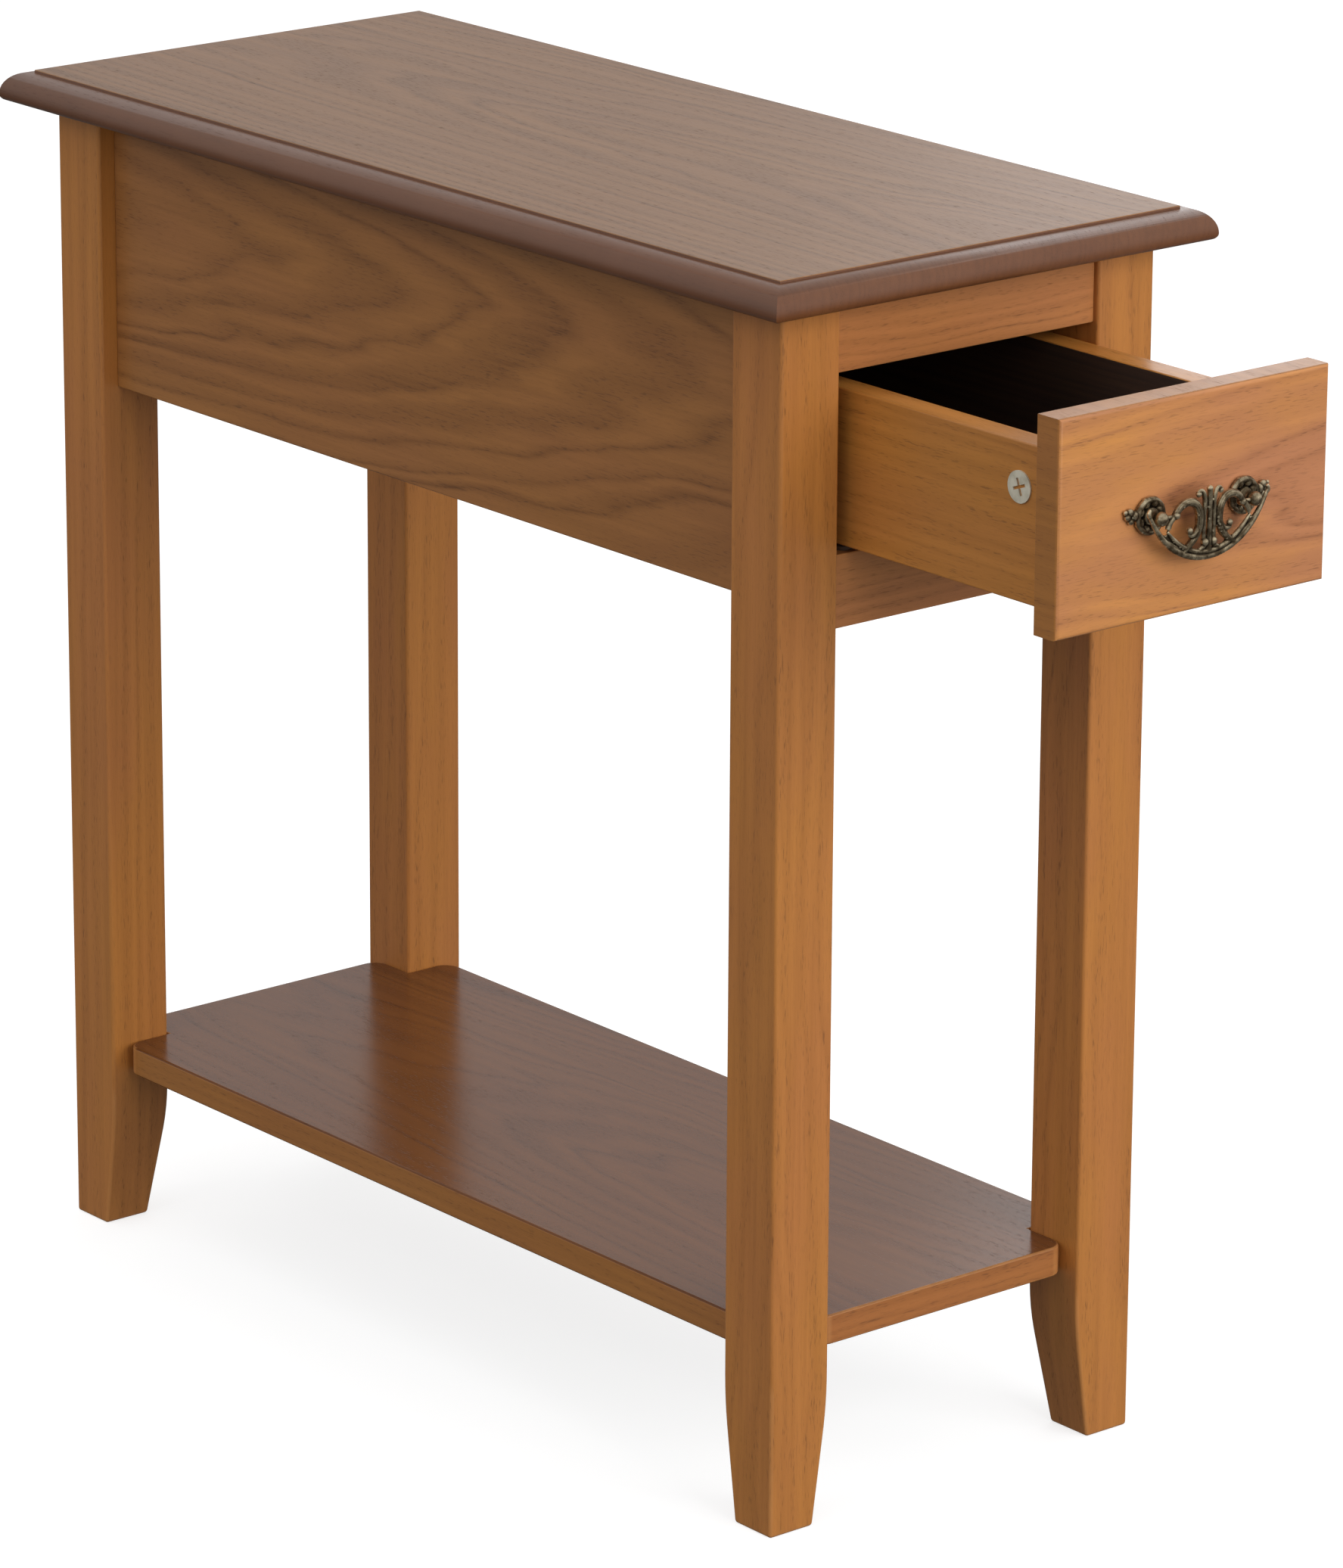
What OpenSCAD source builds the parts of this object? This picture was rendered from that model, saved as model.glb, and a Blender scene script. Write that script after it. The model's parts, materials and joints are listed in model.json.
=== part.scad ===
// Narrow side table: a moulded rectangular top on four square legs with tapered feet,
// panelled sides and back, a low shelf notched round the legs, and one lipped drawer
// with a cast swinging bail handle, running on a centre track.
// +Z up, drawer front towards -Y, width along X. The origin lies on the floor, in the
// middle of the footprint with the drawer drawn out by drawer_out.

/* [Table top] */
// Height of the table
table_h = 610; // [560:1:680]
// Width of the top over its moulding
top_w = 270; // [230:1:360]
// Depth of the top over its moulding
top_d = 606; // [520:1:720]
// Thickness of the top
top_t = 16; // [15:0.5:22]
// How far the moulding stands out past the legs
top_overhang = 21; // [16:0.5:40]
// Radius of the quarter round along the top edge
ovolo_r = 11.5; // [8:0.5:12]
// Height of the small step above the quarter round
quirk_h = 1.3; // [0.6:0.1:2]
// Width of the small flat beside the step
quirk_w = 1.5; // [0.5:0.1:3]

/* [Legs] */
// Side of the square leg
leg_w = 35; // [30:0.5:45]
// How much each inner face is cut back at the floor
foot_inset = 8.5; // [4:0.5:12]
// Height where the taper would start without its blend
taper_h = 60; // [45:1:75]
// Radius that blends the taper into the leg
taper_blend_r = 200; // [100:10:260]
// Chamfer round the foot
foot_chamfer = 1.2; // [0.5:0.1:2]

/* [Side and back panels] */
// Thickness of the panels
panel_t = 15; // [12:0.5:16]
// How far the panels lie behind the outer faces of the legs
panel_inset = 9.5; // [6:0.5:11]
// Height of the panels
panel_h = 142.5; // [125:0.5:175]

/* [Front rails] */
// Thickness of the rails
rail_t = 18; // [15:0.5:20]
// How far the rails lie behind the front faces of the legs
rail_inset = 3; // [1:0.5:6]
// Height of the rail under the top
top_rail_h = 35.5; // [32:0.5:45]
// Height of the opening between the rails
opening_h = 85.5; // [70:0.5:110]
// Height of the rail under the drawer
lower_rail_h = 35; // [30:0.5:45]

/* [Shelf] */
// Height of the shelf's upper face
shelf_z = 100; // [90:1:220]
// Thickness of the shelf
shelf_t = 15; // [14:0.5:18]
// How far the shelf's edges lie behind the outer faces of the legs
shelf_inset = 8; // [5:0.5:10]
// Radius on the shelf's corners beside each leg
shelf_corner_r = 9; // [4:0.5:10]
// Gap between the shelf's notch and the leg
notch_gap = 0.3; // [0:0.1:1]

/* [Drawer] */
// How far the drawer is drawn out from closed
drawer_out = 135; // [0:1:300]
// Thickness of the drawer front
front_t = 15; // [12:0.5:19]
// Gap between the closed drawer front and the legs
front_gap = 0.4; // [0.3:0.1:1]
// How far the drawer front laps over each leg
lap_side = 3; // [2:0.5:10]
// How far the drawer front laps over the top rail
lap_top = 10; // [5:0.5:12]
// How far the drawer front laps over the lower rail
lap_bottom = 5.5; // [3:0.5:10]
// Length of the drawer box behind its front
box_d = 455; // [380:1:480]
// Gap between the drawer box and each leg
box_side_gap = 6; // [3:0.5:8]
// Height of the drawer box above the lower rail
box_lift = 3.6; // [3.4:0.1:5]
// Gap between the drawer box and the top rail
box_top_gap = 8; // [3:0.5:12]
// Thickness of the drawer sides
side_t = 14; // [12.5:0.5:15]
// Thickness of the drawer back
box_back_t = 12; // [9:0.5:15]
// How far the drawer back stops below the sides
back_drop = 6; // [2:0.5:12]
// Thickness of the drawer bottom
bottom_t = 3.2; // [2.5:0.1:5]
// Height of the bottom's groove above the lower edge of the sides
groove_z = 8; // [7.5:0.5:12]
// Depth of the groove
groove_d = 6; // [4:0.5:7]
// Gap between the bottom and its groove
groove_gap = 0.15; // [0.1:0.05:0.3]
// Radius on the front edges of the drawer front
front_round = 2.5; // [1:0.5:4]

/* [Centre track] */
// Outer width of the track
track_w = 22.4; // [18:0.2:30]
// Height of the track
track_h = 7; // [6:0.5:7.5]
// Sheet thickness of the track
track_t = 1.2; // [0.8:0.1:1.6]
// Gap between the guide block and the track
guide_gap = 0.6; // [0.4:0.1:1]
// Length of the guide block
guide_l = 30; // [20:1:45]
// Width of the guide block's flange
flange_w = 34; // [32:1:50]
// Distance from the front of the legs back to the stop in the track
stop_y = 112; // [80:1:160]

/* [Bail handle] */
// Distance between the two posts
post_pitch = 57; // [54:1:80]
// How far the pivot stands out from the drawer front
pivot_out = 9; // [8:0.5:14]
// Radius of a post's ball head
ball_r = 3.4; // [3:0.1:4.5]
// Radius of the dished rosette
rosette_r = 9; // [8:0.5:12]
// Height of the rosette's rim
rosette_h = 3.2; // [2:0.2:4]
// Radius of a post's neck
neck_r = 2.4; // [2:0.1:3]
// Radius of the boss at the neck's foot, which takes the screw
boss_r = 4; // [3.6:0.1:5]
// Height of the boss
boss_h = 3.6; // [3:0.1:5]
// Diameter of the pivot pins
pin_d = 2; // [1.6:0.1:2.4]
// Radial clearance round the pivot pins
pin_gap = 0.05; // [0.02:0.01:0.1]
// Thickness of the bail
bail_t = 4; // [3:0.25:5]
// Drop from the pivot to the bottom of the bail
bail_drop = 23; // [20:0.5:30]
// Width of the bail's outer rim
rim_w = 2.3; // [1.5:0.1:3]
// Gap between the bail and the ball heads
rim_gap = 1; // [0.4:0.1:2]
// Width of the scrolls
scroll_w = 2.6; // [2:0.1:3.2]
// Distance from the handle's pivot down to the middle of the drawer front
pivot_low = 1.5; // [-5:0.5:8]

/* [Fixings] */
// Diameter of the case dowels
dowel_d = 8; // [6:0.5:8]
// Length of the case dowels
dowel_l = 30; // [20:1:30]
// Diameter of the drawer dowels
small_dowel_d = 6; // [5:0.5:6]
// Diameter of the cam locks
cam_d = 15; // [12:0.5:15]
// Depth of the cam locks
cam_depth = 12; // [10:0.5:12.5]
// Distance from a joint to the middle of a case cam lock
cam_offset = 24; // [20:1:34]
// Distance from the drawer front to the middle of a drawer cam lock
drawer_cam_offset = 20; // [18:1:24]
// Height of the drawer cam locks above the lower edge of the sides
drawer_cam_z = 53; // [40:1:60]
// How far the drawer cam locks stand proud
cam_proud = 0.8; // [0:0.1:1.5]
// Diameter of a cam bolt's head
bolt_head_d = 7; // [6:0.5:7]
// Length of a cam bolt's head
bolt_head_l = 4; // [3:0.5:5]
// Diameter of a cam bolt's shank
bolt_d = 5; // [4:0.5:6]
// Length of a cam bolt's thread in the wood
bolt_thread_l = 11; // [8:0.5:12]
// Gap round each fixing in its hole
fit = 0.05; // [0.02:0.01:0.1]
// Section of the cleats that hold the top
cleat_w = 16; // [12:0.5:18]
// Diameter of the wood screws
screw_d = 4; // [3:0.25:4.5]
// Diameter of the wood screws' heads
screw_head_d = 8; // [6:0.25:9]

/* [Hidden] */

$fn = 48;
eps = 0.01;
SIDES = [-1, 1];

// Case
leg_l = table_h - top_t;
leg_out_x = top_w / 2 - top_overhang;
leg_out_y = top_d / 2 - top_overhang;
leg_in_x = leg_out_x - leg_w;
leg_in_y = leg_out_y - leg_w;
panel_z = leg_l - panel_h;
panel_mid_z = panel_z + panel_h / 2;
panel_mid_x = leg_out_x - panel_inset - panel_t / 2;
panel_in_x = leg_out_x - panel_inset - panel_t;
back_mid_y = leg_out_y - panel_inset - panel_t / 2;
back_in_y = leg_out_y - panel_inset - panel_t;
rail_front_y = -leg_out_y + rail_inset;
rail_mid_y = rail_front_y + rail_t / 2;
rail_back_y = rail_front_y + rail_t;
top_rail_z = leg_l - top_rail_h;
lower_rail_top = top_rail_z - opening_h;
lower_rail_z = lower_rail_top - lower_rail_h;
// Each rail's middle height, and which way up its fixings are
RAILS = [[top_rail_z + top_rail_h / 2, 1], [lower_rail_z + lower_rail_h / 2, -1]];
rail_dowel_off = (cam_d + dowel_d) / 4 + 4;
rail_cam_off = cam_d / 4 + 2;
shelf_mid_z = shelf_z - shelf_t / 2;
shelf_x = leg_out_x - shelf_inset;
shelf_y = leg_out_y - shelf_inset;
shelf_tongue_x = (shelf_x + leg_in_x) / 2;
shelf_dowel_y = leg_in_y + bolt_thread_l + dowel_d / 2 + 2;

// Cleats under the top, and where their screws are along them
cleat_l = 2 * leg_in_y - 60;
cleat_mid_x = panel_in_x - cleat_w / 2;
TOP_SCREW_YS = [for (k = [-1, 0, 1]) k * cleat_l * 0.42];
CLEAT_SCREW_YS = [for (k = [-1, 0, 1]) k * cleat_l * 0.32 + 20];

// Centre track, the socket that holds its back end, and the glides on the lower rail
track_end_gap = 2;
track_front_y = rail_front_y + track_end_gap;
track_back_y = back_in_y - track_end_gap;
socket_l = 14;
socket_wall = 8;
socket_floor = 5;
socket_roof = 4;
socket_w = track_w + 2 * socket_wall;
socket_screw_x = track_w / 2 + socket_wall / 2;
rail_screw_y = rail_mid_y + 2;
rail_screw_l = 18;
rail_screw_head_h = 1;
glide_gap = 0.4;
glide_h = box_lift - glide_gap;
glide_r = 6;
glide_stem_r = 1.2;
glide_stem_l = 6.5;

// Drawer, closed
front_back_y = -leg_out_y - front_gap;
front_face_y = front_back_y - front_t;
front_w = 2 * (leg_in_x + lap_side);
front_z = lower_rail_top - lap_bottom;
front_h = opening_h + lap_top + lap_bottom;
box_x = leg_in_x - box_side_gap;
box_z = lower_rail_top + box_lift;
box_h = opening_h - box_lift - box_top_gap;
box_back_y = front_back_y + box_d;
side_mid_x = box_x - side_t / 2;
bottom_z = box_z + groove_z;
bottom_x = box_x - side_t + groove_d - groove_gap;
back_z = bottom_z + bottom_t + groove_gap;
guide_flange_z = lower_rail_top + track_h + guide_gap;
guide_screw_x = flange_w / 2 - 4.5;
guide_screw_bite = 14;
back_screw_bite = 18;
drawer_dowel_l = 2 * (front_t - 5);

// Handle, closed
post_x = post_pitch / 2;
pivot_y = front_face_y - pivot_out;
pivot_z = front_z + front_h / 2 - pivot_low;
handle_screw_bite = boss_h - 0.6;
pan_head_h = 2.4;
rim_in_z = rim_centre_z();
rim_r_in = sqrt(pow(post_x, 2) + pow(rim_in_z, 2)) + ball_r + rim_gap;
rim_top = 4;
eye_x = post_x - ball_r - rim_gap;
bail_lug_l = 5;
scroll_r = 10;
scroll_z = -1.5;
inner_arc_r = 31.4;
bead_r = 2.4;
stem_w = 5.4;
stem_top = 9.5;

// The drawer's reach to the front and the top's to the back put the origin in the middle
reach_front = max(top_d / 2, -pivot_y + ball_r + drawer_out);
case_y = (reach_front - top_d / 2) / 2;

function arc(centre, r, a0, a1, steps) =
    [for (i = [0:steps]) centre + r * [cos(a0 + (a1 - a0) * i / steps), sin(a0 + (a1 - a0) * i / steps)]];

// Height above the pivot of the centre of the rim's arc: it clears the ball heads
// by rim_gap and its outer edge passes bail_drop below the pivot
function rim_centre_z() = let (k = bail_drop - ball_r - rim_gap - rim_w)
    (pow(post_x, 2) - pow(k, 2)) / (2 * k);

function turn_to(dir) =
    dir == [0, 0, 1] ? [0, 0, 0] : dir == [0, 0, -1] ? [180, 0, 0] :
    dir == [1, 0, 0] ? [0, 90, 0] : dir == [-1, 0, 0] ? [0, -90, 0] :
    dir == [0, 1, 0] ? [-90, 0, 0] : [90, 0, 0];

// Where the case's dowels cross a joint: [middle, direction]
DOWELS = concat(
    [for (sx = SIDES, sy = SIDES, k = [-1, 0, 1])
        [[sx * panel_mid_x, sy * leg_in_y, panel_mid_z + k * panel_h / 3], [0, 1, 0]]],
    [for (sx = SIDES, k = [-1, 1])
        [[sx * leg_in_x, back_mid_y, panel_mid_z + k * panel_h / 5], [1, 0, 0]]],
    [for (sx = SIDES, r = RAILS)
        [[sx * leg_in_x, rail_mid_y, r[0] + r[1] * rail_dowel_off], [1, 0, 0]]],
    [for (sx = SIDES, sy = SIDES)
        [[sx * leg_in_x, sy * shelf_dowel_y, shelf_mid_z], [1, 0, 0]]]);

// Where the case's cam joints are: [point on the joint, way into the panel,
// distance from the bolt to the face that the lock opens in, way out of that face]
CAM_JOINTS = concat(
    [for (sx = SIDES, r = RAILS)
        [[sx * leg_in_x, rail_mid_y, r[0] - r[1] * rail_cam_off], [-sx, 0, 0], rail_t / 2, [0, 1, 0]]],
    [for (sx = SIDES)
        [[sx * leg_in_x, back_mid_y, panel_mid_z], [-sx, 0, 0], panel_t / 2, [0, -1, 0]]],
    [for (sx = SIDES, sy = SIDES)
        [[sx * shelf_tongue_x, sy * leg_in_y, shelf_mid_z], [0, -sy, 0], shelf_t / 2, [0, 0, -1]]]);

DRAWER_CAM_JOINTS =
    [for (sx = SIDES)
        [[sx * side_mid_x, front_back_y, box_z + drawer_cam_z], [0, 1, 0], side_t / 2, [sx, 0, 0]]];

DRAWER_DOWELS = [for (sx = SIDES) [[sx * side_mid_x, front_back_y, box_z + box_h / 3], [0, 1, 0]]];

module in_case() { translate([0, case_y, 0]) children(); }
module in_drawer() { translate([0, case_y - drawer_out, 0]) children(); }
module along(p, dir) { translate(p) rotate(turn_to(dir)) children(); }

// A prism along X or Y of an outline drawn in that direction and Z
module prism_along_y(l) { rotate([90, 0, 0]) linear_extrude(l, center = true) children(); }
module prism_along_x(l) { rotate([90, 0, 90]) linear_extrude(l, center = true) children(); }

// ---- fixings -------------------------------------------------------------------

module dowels(list, d, l, gap = 0) {
    for (j = list) along(j[0], j[1]) cylinder(d = d + 2 * gap, h = l + 2 * gap, center = true);
}

module cam_lock(joint, offset, proud, gap = 0) {
    lock = joint[0] + joint[1] * offset + joint[3] * joint[2];
    difference() {
        along(lock, joint[3]) translate([0, 0, -cam_depth - gap])
            cylinder(d = cam_d + 2 * gap, h = cam_depth + gap + proud);
        if (gap == 0) {
            along(joint[0] + joint[1] * (offset - cam_d / 2 - 1), joint[1])
                cylinder(d = bolt_head_d + 1, h = cam_d / 2 + bolt_head_l / 2 + 3);
            for (a = [0, 90]) along(lock + joint[3] * proud, joint[3])
                rotate([0, 0, a + 20]) cube([cam_d * 0.55, 1.4, 2.4], center = true);
        }
    }
}

module cam_bolt(joint, offset) {
    along(joint[0] - joint[1] * bolt_thread_l, joint[1]) {
        cylinder(d = bolt_d + 1, h = bolt_thread_l);
        cylinder(d = bolt_d, h = bolt_thread_l + offset);
        translate([0, 0, bolt_thread_l + offset - bolt_head_l / 2])
            cylinder(d = bolt_head_d, h = bolt_head_l);
    }
}

// The holes that a set of cam joints needs in both boards
module cam_holes(joints, offset, proud) {
    for (j = joints) {
        cam_lock(j, offset, proud, fit);
        along(j[0] - j[1] * (bolt_thread_l + fit), j[1]) {
            cylinder(d = bolt_d + 1 + 2 * fit, h = bolt_thread_l + 2 * fit);
            translate([0, 0, bolt_thread_l])
                cylinder(d = bolt_head_d + 1, h = offset + bolt_head_l / 2 + 0.5);
        }
    }
}

module case_holes() {
    dowels(DOWELS, dowel_d, dowel_l, fit);
    cam_holes(CAM_JOINTS, cam_offset, eps);
}

module drawer_holes() {
    dowels(DRAWER_DOWELS, small_dowel_d, drawer_dowel_l, fit);
    cam_holes(DRAWER_CAM_JOINTS, drawer_cam_offset, cam_proud + eps);
}

// A pan-headed wood screw, head first, pointing along dir
module screw(p, dir, l, gap = 0) {
    along(p, dir) {
        if (gap == 0) translate([0, 0, -pan_head_h]) cylinder(d = screw_head_d, h = pan_head_h);
        cylinder(d = screw_d + 2 * gap, h = l + gap);
    }
}

// A flat-headed wood screw, sunk flush in the face at p
module sunk_screw(p, dir, l, gap = 0) {
    along(p, dir) {
        translate([0, 0, gap > 0 ? -eps : 0])
            cylinder(d1 = screw_head_d + 2 * gap, d2 = screw_d + 2 * gap, h = screw_head_d / 2);
        cylinder(d = screw_d + 2 * gap, h = l + gap);
    }
}

// ---- case ----------------------------------------------------------------------

// The top's section, half_w wide each side of the middle
module top_section(half_w) {
    nose_r = top_t - quirk_h - ovolo_r;
    nose_z = leg_l + nose_r;
    right = concat(
        arc([half_w - nose_r, nose_z], nose_r, -90, 0, 5),
        arc([half_w - ovolo_r, nose_z], ovolo_r, 0, 90, 10),
        [[half_w - ovolo_r - quirk_w, table_h - quirk_h], [half_w - ovolo_r - quirk_w, table_h]]);
    polygon(concat(right, [for (i = [len(right) - 1:-1:0]) [-right[i][0], right[i][1]]]));
}

module tabletop() {
    color("#8c7a6c") in_case() difference() {
        intersection() {
            prism_along_y(top_d + 2) top_section(top_w / 2);
            prism_along_x(top_w + 2) top_section(top_d / 2);
        }
        top_screw_set(fit);
    }
}

// A leg's outline from its outer face at 0 to its inner face, with the tapered foot
module leg_outline() {
    lean = atan(foot_inset / taper_h);
    blend_z = taper_h + taper_blend_r * tan(lean / 2);
    polygon(concat(
        [[foot_chamfer, 0], [leg_w - foot_inset - foot_chamfer, 0],
         [leg_w - foot_inset * (1 - foot_chamfer / taper_h), foot_chamfer]],
        arc([leg_w - taper_blend_r, blend_z], taper_blend_r, -lean, 0, 6),
        [[leg_w, leg_l], [0, leg_l], [0, foot_chamfer]]));
}

module leg(sx, sy) {
    color("#a86f3c") in_case() difference() {
        intersection() {
            translate([sx * leg_out_x, sy * leg_out_y, 0]) mirror([sx > 0 ? 1 : 0, 0, 0])
                prism_along_y(2 * leg_w + 2) leg_outline();
            translate([sx * leg_out_x, sy * leg_out_y, 0]) mirror([0, sy > 0 ? 1 : 0, 0])
                prism_along_x(2 * leg_w + 2) leg_outline();
        }
        case_holes();
    }
}

module leg_front_left() { leg(-1, -1); }
module leg_front_right() { leg(1, -1); }
module leg_back_left() { leg(-1, 1); }
module leg_back_right() { leg(1, 1); }

module side_panel(sx) {
    color("#744e2a") in_case() difference() {
        translate([sx * panel_mid_x, 0, panel_mid_z]) cube([panel_t, 2 * leg_in_y, panel_h], center = true);
        case_holes();
        cleat_screw_set(fit);
    }
}

module side_panel_left() { side_panel(-1); }
module side_panel_right() { side_panel(1); }

module back_panel() {
    color("#744e2a") in_case() difference() {
        translate([0, back_mid_y, panel_mid_z]) cube([2 * leg_in_x, panel_t, panel_h], center = true);
        case_holes();
        socket_screw_set(fit);
    }
}

module front_top_rail() {
    color("#b97c45") in_case() difference() {
        translate([-leg_in_x, rail_front_y, top_rail_z]) cube([2 * leg_in_x, rail_t, top_rail_h]);
        case_holes();
    }
}

module front_lower_rail() {
    color("#8a6042") in_case() difference() {
        translate([-leg_in_x, rail_front_y, lower_rail_z]) cube([2 * leg_in_x, rail_t, lower_rail_h]);
        case_holes();
        rail_screw(fit);
        glide_stems(fit);
    }
}

// The shelf is four strips and their rounded corners, so that it clears each leg
module shelf() {
    clear_x = leg_in_x - notch_gap;
    clear_y = leg_in_y - notch_gap;
    color("#7d5f4c") in_case() difference() {
        translate([0, 0, shelf_z - shelf_t]) linear_extrude(shelf_t) {
            square([2 * (shelf_x - shelf_corner_r), 2 * clear_y], center = true);
            square([2 * shelf_x, 2 * (clear_y - shelf_corner_r)], center = true);
            square([2 * clear_x, 2 * (shelf_y - shelf_corner_r)], center = true);
            square([2 * (clear_x - shelf_corner_r), 2 * shelf_y], center = true);
            for (sx = SIDES, sy = SIDES, end = [[shelf_x, clear_y], [clear_x, shelf_y]])
                translate([sx * (end[0] - shelf_corner_r), sy * (end[1] - shelf_corner_r)])
                    circle(shelf_corner_r);
        }
        case_holes();
    }
}

module top_cleat(sx) {
    color("#c9a26a") in_case() difference() {
        translate([sx * cleat_mid_x, 0, leg_l - cleat_w / 2])
            cube([cleat_w, cleat_l, cleat_w], center = true);
        top_screw_set(fit);
        cleat_screw_set(fit);
    }
}

module top_cleat_left() { top_cleat(-1); }
module top_cleat_right() { top_cleat(1); }

module top_screw_set(gap = 0) {
    for (sx = SIDES, y = TOP_SCREW_YS)
        screw([sx * cleat_mid_x, y, leg_l - cleat_w], [0, 0, 1], cleat_w + top_t * 0.6, gap);
}

module cleat_screw_set(gap = 0) {
    for (sx = SIDES, y = CLEAT_SCREW_YS)
        screw([sx * (panel_in_x - cleat_w), y, leg_l - cleat_w / 2], [sx, 0, 0],
            cleat_w + panel_t * 0.6, gap);
}

module top_screws() { color("#b9bbbd") in_case() top_screw_set(); }
module cleat_screws() { color("#b9bbbd") in_case() cleat_screw_set(); }
module case_dowels() { color("#d8b98a") in_case() dowels(DOWELS, dowel_d, dowel_l); }
module case_cam_locks() { color("#c4c6c8") in_case() for (j = CAM_JOINTS) cam_lock(j, cam_offset, 0); }
module case_cam_bolts() { color("#b9bbbd") in_case() for (j = CAM_JOINTS) cam_bolt(j, cam_offset); }

// ---- centre track --------------------------------------------------------------

// The track is one folded channel; its stop is a tongue bent up across it
module drawer_track() {
    track_l = track_back_y - track_front_y;
    color("#aeb1b4") in_case() difference() {
        union() {
            translate([-track_w / 2, track_front_y, lower_rail_top]) difference() {
                cube([track_w, track_l, track_h]);
                translate([track_t, -eps, track_t]) cube([track_w - 2 * track_t, track_l + 2 * eps, track_h]);
            }
            translate([(track_t - track_w) / 2, stop_y - leg_out_y - track_t, lower_rail_top + track_t / 2])
                cube([track_w - track_t, track_t, track_h - track_t / 2]);
        }
        rail_screw(fit);
    }
}

module track_socket() {
    color("#e9e6dc") in_case() difference() {
        translate([-socket_w / 2, back_in_y - socket_l, lower_rail_top - socket_floor])
            cube([socket_w, socket_l, socket_floor + track_h + socket_roof]);
        translate([-track_w / 2 - fit, back_in_y - socket_l - eps, lower_rail_top - fit])
            cube([track_w + 2 * fit, socket_l - track_end_gap + fit, track_h + 2 * fit]);
        socket_screw_set(fit);
    }
}

// The head is sunk in the channel below the guide block
module rail_screw(gap = 0) {
    along([0, rail_screw_y, lower_rail_top + track_t], [0, 0, -1]) {
        if (gap == 0) translate([0, 0, -rail_screw_head_h]) cylinder(d = screw_head_d, h = rail_screw_head_h);
        cylinder(d = screw_d + 2 * gap, h = rail_screw_l + gap);
    }
}

module socket_screw_set(gap = 0) {
    for (sx = SIDES) screw([sx * socket_screw_x, back_in_y - socket_l, lower_rail_top + track_h / 2],
        [0, 1, 0], socket_l + panel_t * 0.6, gap);
}

module track_screws() {
    color("#b9bbbd") in_case() {
        rail_screw();
        socket_screw_set();
    }
}

module glide_stems(gap = 0) {
    for (sx = SIDES) along([sx * side_mid_x, rail_mid_y, lower_rail_top + eps], [0, 0, -1])
        cylinder(r = glide_stem_r + gap, h = glide_stem_l + gap);
}

module rail_glides() {
    color("#f0eee6") in_case() {
        glide_stems();
        for (sx = SIDES) translate([sx * side_mid_x, rail_mid_y, lower_rail_top]) {
            cylinder(r = glide_r, h = glide_h * 0.6);
            cylinder(r = glide_r * 0.75, h = glide_h);
        }
    }
}

// ---- drawer --------------------------------------------------------------------

// The lipped front: a board with its four front edges rounded
module front_section(w) {
    r = front_round;
    polygon(concat(
        [[-w / 2, 0], [w / 2, 0]],
        arc([w / 2 - r, front_t - r], r, 0, 90, 5),
        arc([-w / 2 + r, front_t - r], r, 90, 180, 5)));
}

module drawer_front() {
    color("#cb8c55") in_drawer() difference() {
        translate([0, front_back_y, front_z + front_h / 2]) rotate([90, 0, 0]) intersection() {
            rotate([90, 0, 0]) linear_extrude(front_h + 2, center = true) front_section(front_w);
            rotate([90, 0, 90]) linear_extrude(front_w + 2, center = true) front_section(front_h);
        }
        drawer_holes();
        bottom_groove();
        handle_screw_set(fit);
    }
}

// The groove that the bottom slides into, cut in the front and both sides
module bottom_groove() {
    translate([-bottom_x - groove_gap, front_back_y - groove_d, bottom_z - groove_gap])
        cube([2 * (bottom_x + groove_gap), groove_d + box_d + eps, bottom_t + 2 * groove_gap]);
}

module drawer_side(sx) {
    color("#8c5f2d") in_drawer() difference() {
        translate([sx * side_mid_x - side_t / 2, front_back_y, box_z]) cube([side_t, box_d, box_h]);
        bottom_groove();
        drawer_holes();
        back_screw_set(fit);
    }
}

module drawer_side_left() { drawer_side(-1); }
module drawer_side_right() { drawer_side(1); }

module drawer_back() {
    w = 2 * (box_x - side_t);
    color("#8c5f2d") in_drawer() difference() {
        translate([-w / 2, box_back_y - box_back_t, back_z])
            cube([w, box_back_t, box_z + box_h - back_drop - back_z]);
        back_screw_set(fit);
        guide_screw_set(fit);
    }
}

module drawer_bottom() {
    color("#6b4f36") in_drawer() difference() {
        translate([-bottom_x, front_back_y - groove_d + groove_gap, bottom_z])
            cube([2 * bottom_x, box_d + groove_d - groove_gap, bottom_t]);
        guide_screw_set(fit);
    }
}

module back_screw_set(gap = 0) {
    for (sx = SIDES, z = [0.35, 0.75])
        sunk_screw([sx * box_x, box_back_y - box_back_t / 2, box_z + box_h * z], [-sx, 0, 0],
            side_t + back_screw_bite, gap);
}

module drawer_cam_locks() {
    color("#d8d6cc") in_drawer() for (j = DRAWER_CAM_JOINTS) cam_lock(j, drawer_cam_offset, cam_proud);
}

module drawer_cam_bolts() {
    color("#b9bbbd") in_drawer() for (j = DRAWER_CAM_JOINTS) cam_bolt(j, drawer_cam_offset);
}

module drawer_dowels() { color("#d8b98a") in_drawer() dowels(DRAWER_DOWELS, small_dowel_d, drawer_dowel_l); }
module drawer_back_screws() { color("#b9bbbd") in_drawer() back_screw_set(); }

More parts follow.
